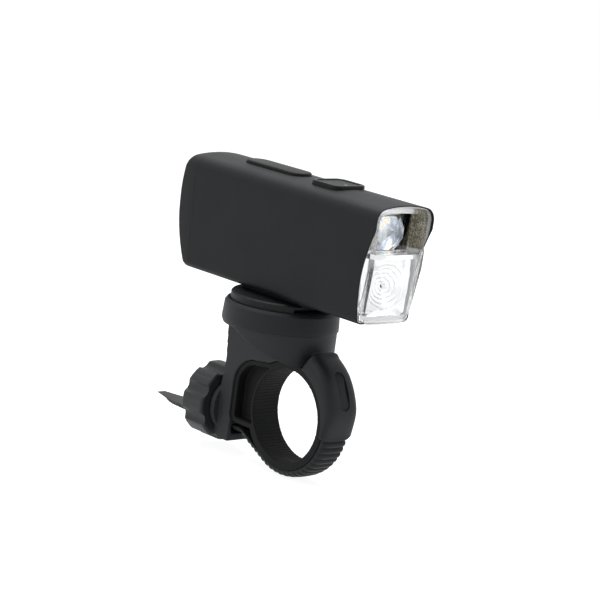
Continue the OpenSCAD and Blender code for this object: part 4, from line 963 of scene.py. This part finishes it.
def mouth_ring(back, gap, forward=1e9):
    """Ring along the housing's tapered mouth, a distance behind its edge and inside its wall."""
    ring = []
    for y, z in lamp_section(LIP_T + (WALL - LIP_T) * back / LIP_TAPER + gap):
        ring.append((min(front_x(z), forward) - back, y, z))
    return ring


def lens_outline(inset):
    """Points (y, z) round the lens, and whether it stands out of the housing there, flush with its side."""
    for flush, inside in zip(lamp_section(inset), lamp_section(BEHIND_BEZEL + inset)):
        out = lens_face(*flush) - LENS_ROUND > front_x(flush[1]) + 0.1
        yield (*(flush if out else inside), out)


def lens_ring(inset, before):
    """Ring round the lens's front, a distance behind its face."""
    return [(lens_face(y, z) - before, y, z) for y, z, out in lens_outline(inset)]


def edge_ring():
    """Ring where the lens comes out of the housing's mouth."""
    return [(front_x(z) + 0.05 if out else lens_face(y, z) - LENS_ROUND - 0.05, y, z)
            for y, z, out in lens_outline(LENS_FLUSH)]


LENS_REAR_X = 30.2
lens_rings = [flat_ring(LENS_IN - LENS_WALL + 0.15, LENS_REAR_X),
              mouth_ring(0.1, BEZEL_T + 2 * BEZEL_GAP, NICHE_FRONT_X), edge_ring()]
for angle in (0, 30, 60, 90):
    turn = math.radians(angle)
    inset = LENS_FLUSH + LENS_ROUND * (1 - math.cos(turn))
    lens_rings.append(lens_ring(inset, LENS_ROUND * (1 - math.sin(turn))))
lens_middle = np.array((0.0, LAMP_Z + SHELF_H / 2))
for share in (0.9, 0.75, 0.6, 0.45, 0.3, 0.15, 0.0):
    inner = [lens_middle + (np.array(p) - lens_middle) * share for p in lamp_section(LENS_FLUSH + LENS_ROUND)]
    lens_rings.append([(lens_face(y, z), y, z) for y, z in inner])


def between(outline, low_z, high_z):
    """Part of an outline (y, z) that lies between two heights."""
    for limit, side in ((low_z, 1), (high_z, -1)):
        kept = []
        for (y0, z0), (y1, z1) in zip(outline, outline[1:] + outline[:1]):
            if (z0 - limit) * side >= 0:
                kept.append((y0, z0))
            if (z0 - limit) * (z1 - limit) < 0:
                kept.append((y0 + (y1 - y0) * (limit - z0) / (z1 - z0), limit))
        outline = kept
    return outline


def cavity(name, inset, low_z, high_z, rear_x, face_back):
    """Room inside the lens between two heights, open behind, or in front where face_back is None."""
    points = between(lamp_section(inset), low_z, high_z)
    front = [(LAMP_FRONT + 1 if face_back is None else lens_face(y, z) - face_back, y, z) for y, z in points]
    return skin(name, [[(rear_x, y, z) for y, z in points], front], "caps")


in_wall = LENS_IN + LENS_WALL
lens_mesh = cut(
    "lens_cup", skin("lens_cup", lens_rings, "caps"),
    cavity("window_room", in_wall, LAMP_Z + in_wall, SHELF_Z - SHELF_T / 2, LENS_REAR_X - 1, LENS_WALL),
    cavity("niche", in_wall, SHELF_Z + SHELF_T / 2, LAMP_TOP - in_wall, NICHE_BACK_X, None),
    block("niche_front", (NICHE_FRONT_X, -20, SHELF_Z + SHELF_T / 2), (LAMP_FRONT + 1, 20, LAMP_TOP)),
)
add_piece("lens_cup", smooth(lens_mesh, 40), clear_lens, "lamp_body", "clear_plastic", "front_lens")
finish_node("lens_seal", moulded("seal_silicone", (0.85, 0.86, 0.87), (0.8, 0.81, 0.82), (0.4, 0.5), 0.4))

# painted reflection: a bright, mostly matt lining between the housing's mouth and the lens stands in for the
# light that the lens's clear walls show where the housing inside is black. It has a knurled gold patch on the
# far side of the niche
BRIGHT = (0.95, 0.955, 0.96)
painted_reflection_lining = metal("mouth_lining_painted_reflection", BRIGHT, 0.2, 300.0)
lining_tree = painted_reflection_lining.node_tree
lining_place = make(lining_tree, "ShaderNodeTexCoord").outputs["Object"]
lining_axes = make(lining_tree, "ShaderNodeSeparateXYZ", {0: lining_place}).outputs
knurl = make(lining_tree, "ShaderNodeTexVoronoi", {"Scale": 3200.0, "Vector": lining_place})
knurl_level = make(lining_tree, "ShaderNodeSeparateColor", {0: knurl.outputs["Color"]})


def ramp_of(tree, value, tones):
    """Colour read off a ramp of (place, tone) stops."""
    node = make(tree, "ShaderNodeValToRGB", {"Fac": value})
    stops = node.color_ramp.elements
    while len(stops) < len(tones):
        stops.new(1.0)
    for stop, (place, tone) in zip(stops, tones):
        stop.position, stop.color = place, (*tone, 1)
    return node.outputs["Color"]


gold_tone = ramp_of(lining_tree, knurl_level.outputs["Red"], (
    (0.45, (0.16, 0.145, 0.095)), (1.0, (0.95, 0.88, 0.62)),
))
gold_zone = 1.0
for axis, low, high in (("Y", 7.0, 8.0), ("Z", SHELF_Z + 1.5, SHELF_Z + 2.0), ("X", 35.2, 34.8)):
    part = ranged(lining_tree, lining_axes[axis], 0.0, 1.0, low * MM, high * MM)
    gold_zone = sum_of(lining_tree, "MULTIPLY", part, gold_zone)
fill(lining_tree, lining_tree.nodes["Principled BSDF"], {
    "Metallic": 0.3, "Base Color": mixed(lining_tree, gold_zone, (*BRIGHT, 1), gold_tone),
})
BEZEL_FRONT_X = 37.0
bezel_backs = (0.3, 1.5, 3.0, 5.0, 7.0, LIP_TAPER - 0.5)
bezel_rings = [mouth_ring(b, BEZEL_GAP, BEZEL_FRONT_X) for b in bezel_backs]
bezel_rings += [mouth_ring(b, BEZEL_GAP + BEZEL_T, BEZEL_FRONT_X) for b in reversed(bezel_backs)]
add_piece("mouth_lining_painted_reflection", smooth(skin("mouth_lining_painted_reflection", bezel_rings), 30), painted_reflection_lining, "lamp_body", "reflector")
chrome = metal("bright_metal", BRIGHT, 0.16, 300.0)
MIRROR_T, MIRROR_INSET, MIRROR_GAP, MIRROR_SHARE = 0.8, 3.1, 0.05, 0.98
mirror_outline = between(lamp_section(MIRROR_INSET), SHELF_Z + SHELF_T, LAMP_TOP)
mirror_x = NICHE_BACK_X - MIRROR_GAP
mirror_rings = []
for x in (mirror_x - MIRROR_T, mirror_x):
    mirror_rings.append([(x, y * MIRROR_SHARE, z) for y, z in mirror_outline])
# painted light: the niche's back is coloured in slow dark, blue, white and amber bands, which the optic's
# facets pick up as painted colour fringes
fringe_painted_metal = metal("niche_metal_painted_fringes", BRIGHT, 0.14, 300.0)
fringe_tree = fringe_painted_metal.node_tree
fringe_place = make(fringe_tree, "ShaderNodeTexCoord").outputs["Object"]
fringe_stretch = make(fringe_tree, "ShaderNodeMapping", {"Vector": fringe_place, "Scale": (1.0, 1.4, 0.9)})
painted_fringe_bands = ramp_of(fringe_tree, noise_of(fringe_tree, fringe_stretch.outputs["Vector"], 190.0, 1.0), (
    (0.36, (0.2, 0.22, 0.25)), (0.46, (0.46, 0.49, 0.56)), (0.54, (0.86, 0.87, 0.88)),
    (0.6, (0.85, 0.72, 0.42)), (0.64, (0.9, 0.9, 0.9)),
))
fill(fringe_tree, fringe_tree.nodes["Principled BSDF"], {"Base Color": painted_fringe_bands})
niche_mirror = skin("niche_mirror", mirror_rings, "caps")
add_piece("niche_mirror", smooth(niche_mirror, 30), fringe_painted_metal, "lamp_body", "reflector")
# a thin ring and a bar close the view past the lens's rear edge and its shelf; the ring has the bright lining
# of painted reflection, the bar is bright metal
FLANGE_X, FLANGE_T, FLANGE_IN, FLANGE_OUT = LENS_REAR_X - MIRROR_GAP, 0.25, 2.9, 1.15
flange_back = FLANGE_X - FLANGE_T
flange_rings = [flat_ring(inset, x) for inset, x in (
    (FLANGE_OUT, flange_back), (FLANGE_OUT, FLANGE_X), (FLANGE_IN, FLANGE_X), (FLANGE_IN, flange_back),
)]
add_piece("skirt_ring_painted_reflection", smooth(skin("skirt_ring_painted_reflection", flange_rings), 30), painted_reflection_lining, "lamp_body", "reflector")
shelf_outline = between(lamp_section(FLANGE_IN + 0.02), SHELF_Z - SHELF_T * 0.6, SHELF_Z + SHELF_T * 0.6)
shelf_rings = [[(x, y, z) for y, z in shelf_outline] for x in (flange_back, FLANGE_X)]
shelf_mirror = skin("shelf_mirror", shelf_rings, "caps")
add_piece("shelf_mirror", smooth(shelf_mirror, 30), chrome, "lamp_body", "reflector")


# Upper optic: a thick clear collimator block on the lens's shelf, in front of the upper LED. Its
# front is cut in facets with slightly rounded edges; the blue and amber fringes in them are painted light,
# coloured bands on the niche's back behind the block.
optic_clear = clear("clear_acrylic", (0.95, 0.97, 0.99), 0.02, 1.49)
optic_low, optic_high = span("upper_optic")
optic_wide, optic_tall = optic_high[1] - optic_low[1], optic_high[2] - optic_low[2]
FACET_DEPTH, FACET_Y, FACET_Z, FACET_TIP, OPTIC_BEVEL = 3.2, 0.45, 0.6, 0.12, 0.3
optic_outline = [(0.0, 0.0), (0.75, 0.0), (1.0, 0.36), (1.0, 0.64), (0.83, 1.0), (0.07, 1.0), (0.0, 0.9)]


def optic_ring(x, share):
    """Outline of the block, drawn in towards the meeting point of its facets."""
    ring = []
    for y, z in optic_outline:
        y, z = FACET_Y + (y - FACET_Y) * share, FACET_Z + (z - FACET_Z) * share
        ring.append((x, optic_low[1] + optic_wide * y, optic_low[2] + optic_tall * z))
    return ring


optic_rings = [optic_ring(float(optic_low[0]), 1.0), optic_ring(float(optic_high[0]) - FACET_DEPTH, 1.0),
               optic_ring(float(optic_high[0]), FACET_TIP)]
optic_mesh = settle("optic_block", skin("optic_block", optic_rings, "caps"), (
    ("BEVEL", {
        "width": OPTIC_BEVEL * MM, "segments": 2, "limit_method": "ANGLE", "angle_limit": math.radians(12),
    }),
))
add_piece("optic_block", smooth(optic_mesh, 8), optic_clear, "lamp_body", "clear_plastic", "upper_optic")


# Reflector: a metallised plastic block with a shallow ringed dish before the lower LED, pressed into
# the lens against the LED board.
DISH_R, DISH_DEPTH, DISH_RINGS, RIPPLE, DISH_STEPS, DISH_ROWS = 8.2, 1.6, 5.5, 0.2, 144, 66
DISH_ASIDE, DISH_EDGE, DISH_SINK = 1.5, 0.15, 0.1
LIGHT_HOLE_R, LED_ROOM_R, LED_ROOM, DISH_STAND = 0.6, 2.55, 2.0, 0.7
dish_low, dish_high = span("reflector_dish")
dish_back, dish_front = float(dish_low[0]), float(dish_high[0]) - DISH_STAND
led_low, led_high = span("lower_led")
dish_z = float(led_low[2] + led_high[2]) / 2
REFLECTOR_INSET = 2.95
outline = np.array([(y, min(z, float(dish_high[2]))) for y, z in lamp_section(REFLECTOR_INSET)])


def to_outline(angle):
    """Point of the reflector's outline straight out from the dish's axis."""
    ray = np.array((math.cos(angle), math.sin(angle)))
    across_ray = np.array((-ray[1], ray[0]))
    origin = np.array((0, dish_z))
    best = 0.0
    for first, second in zip(outline, np.roll(outline, -1, axis=0)):
        a, b = (first - origin) @ across_ray, (second - origin) @ across_ray
        if a * b <= 0 and a != b:
            best = max(best, (first + (second - first) * a / (a - b) - origin) @ ray)
    return origin + ray * best


def dish_ring(radius, x, aside=DISH_ASIDE):
    """Round ring of the dish, or of the LED's room where it isn't set aside."""
    angles = [2 * math.pi * k / DISH_STEPS for k in range(DISH_STEPS)]
    return [(x, aside + radius * math.cos(a), dish_z + radius * math.sin(a)) for a in angles]


outer_ring = [to_outline(2 * math.pi * k / DISH_STEPS) for k in range(DISH_STEPS)]
dish_rings = [[(dish_back, y, z) for y, z in outer_ring], [(dish_front, y, z) for y, z in outer_ring],
              dish_ring(DISH_R + DISH_EDGE, dish_front)]
for k in range(DISH_ROWS + 1):
    radius = DISH_R + (LIGHT_HOLE_R - DISH_R) * k / DISH_ROWS
    depth = DISH_DEPTH * (1 - (radius / DISH_R) ** 2)
    wave = RIPPLE * abs(math.sin(math.pi * DISH_RINGS * (DISH_R - radius) / (DISH_R - LIGHT_HOLE_R)))
    dish_rings.append(dish_ring(radius, dish_front - depth - DISH_SINK + wave * (0 < k < DISH_ROWS)))
dish_rings += [dish_ring(LIGHT_HOLE_R, dish_back + LED_ROOM), dish_ring(LED_ROOM_R, dish_back + LED_ROOM, 0),
               dish_ring(LED_ROOM_R, dish_back, 0)]
add_piece("dish_reflector", smooth(skin("dish_reflector", dish_rings), 30), chrome,
          "lamp_body", "reflector", "reflector_dish")


# LEDs: two yellow phosphor emitters soldered on one lacquered aluminium board, with a heat sink behind
# it and two red leads to the control board.
finish_node("led_board", moulded("board_lacquer", (0.8, 0.8, 0.79), (0.76, 0.76, 0.75), (0.25, 0.35), 0.5))
phosphor = moulded("led_phosphor", (0.85, 0.7, 0.18), (0.8, 0.64, 0.15), (0.3, 0.4), 0.5)
for node in ("lower_led", "upper_led"):
    finish_node(node, phosphor)
finish_node("led_leads", moulded("lead_sleeve", (0.45, 0.035, 0.03), (0.4, 0.03, 0.025), (0.4, 0.5), 0.4))
finish_node("heat_sink", metal("plain_aluminium", (0.75, 0.76, 0.77), 0.35))


# Power: a round cell in a nylon cradle with welded tabs, and the control board under the housing's top
# with its switch and charging socket.
finish_node("battery_cell", moulded("cell_sleeve", (0.06, 0.2, 0.42), (0.05, 0.17, 0.37), (0.25, 0.35), 0.5))
finish_node("cell_tabs", zinc)
finish_node("battery_cradle", bracket_nylon)
finish_node("control_board", moulded("green_board", (0.03, 0.2, 0.08), (0.025, 0.17, 0.07), (0.3, 0.4), 0.5))
finish_node("charge_socket", zinc)
finish_node("tact_switch", moulded("switch_black", (0.04, 0.04, 0.04), (0.05, 0.05, 0.05), (0.4, 0.5), 0.4))


# Button: a gloss black rim glued in the housing's top, round a satin grey panel that is pressed. A
# small green window in the panel shows the charge.
def level_ring(low, high, radius, inset, z):
    """Level ring round a rectangle with round corners, set in by a distance."""
    return [(x, y, z) for x, y in round_outline(low + inset, high - inset, radius)]


rim_profile = rounded_profile([
    (0, rim_low[2], 0.05), (0, rim_high[2], 0.55),
    (RIM_RING, rim_high[2], 0.45), (RIM_RING, rim_low[2], 0.05),
], 5)
gloss_black = moulded("gloss_black", (0.0045, 0.0045, 0.005), (0.006, 0.006, 0.0065), (0.3, 0.4), 0.16,
                      strength=0.05)
rim_rings = [level_ring(rim_low, rim_high, RIM_R - i, i, z) for i, z in rim_profile]
add_piece("button_rim", smooth(skin("button_rim", rim_rings), 40), gloss_black,
          "lamp_body", "gloss_black", "button_frame")
panel_grey = moulded("panel_grey", (0.012, 0.013, 0.0142), (0.015, 0.0162, 0.0176), (0.48, 0.56), 0.15)
finish_node("power_button", panel_grey)
indicator_green = moulded("indicator_green", (0.025, 0.13, 0.05), (0.02, 0.11, 0.04), (0.2, 0.3), 0.4)
finish_node("indicator_window", indicator_green)


# Port cover: a black silicone flap over the charging socket, held by its thin rear end. A plug under
# it pushes into the socket.
COVER_ROUND, HINGE_LEN, HINGE_T = 0.6, 4.5, 1.2
cover_profile = [(0.25, 0.0), (0.0, 0.3), (0.0, 0.5)]
cover_base, cover_top = 78.5, float(cover_high[2])
for k in range(6):
    a = math.pi / 2 * k / 5
    top = cover_top - cover_base - COVER_ROUND * (1 - math.sin(a))
    cover_profile.append((COVER_ROUND * (1 - math.cos(a)), top))
PLUG_GAP_X, PLUG_GAP_Y, PLUG_R, PLUG_EDGE = 0.95, 0.65, 0.5, 0.3
plug_z = float(cover_low[2])
plug_low, plug_high = socket_low + (PLUG_GAP_X, PLUG_GAP_Y, 0), socket_high - (PLUG_GAP_X, PLUG_GAP_Y, 0)
plug_profile = ((PLUG_EDGE, plug_z), (0.0, plug_z + PLUG_EDGE), (0.0, cover_base))
cover_rings = [level_ring(plug_low, plug_high, PLUG_R, i, z) for i, z in plug_profile]
cover_rings += [level_ring(cover_low, cover_high, cover_r - i, i, cover_base + z) for i, z in cover_profile]
cover_mesh = skin("cover_flap", cover_rings, "caps")
cover_mesh = cut("cover_flap", cover_mesh, block(
    "hinge_thin", (cover_low[0] - 1, cover_low[1] - 1, cover_base - 1),
    (cover_low[0] + HINGE_LEN, cover_high[1] + 1, cover_top - HINGE_T)))
cover_rubber = moulded("cover_rubber", (0.0095, 0.0101, 0.011), (0.0115, 0.0122, 0.0132), (0.5, 0.6), 0.15,
                       depth=0.01)
add_piece("cover_flap", smooth(cover_mesh, 30), cover_rubber, "cover_body", "cover_rubber", "port_cover")
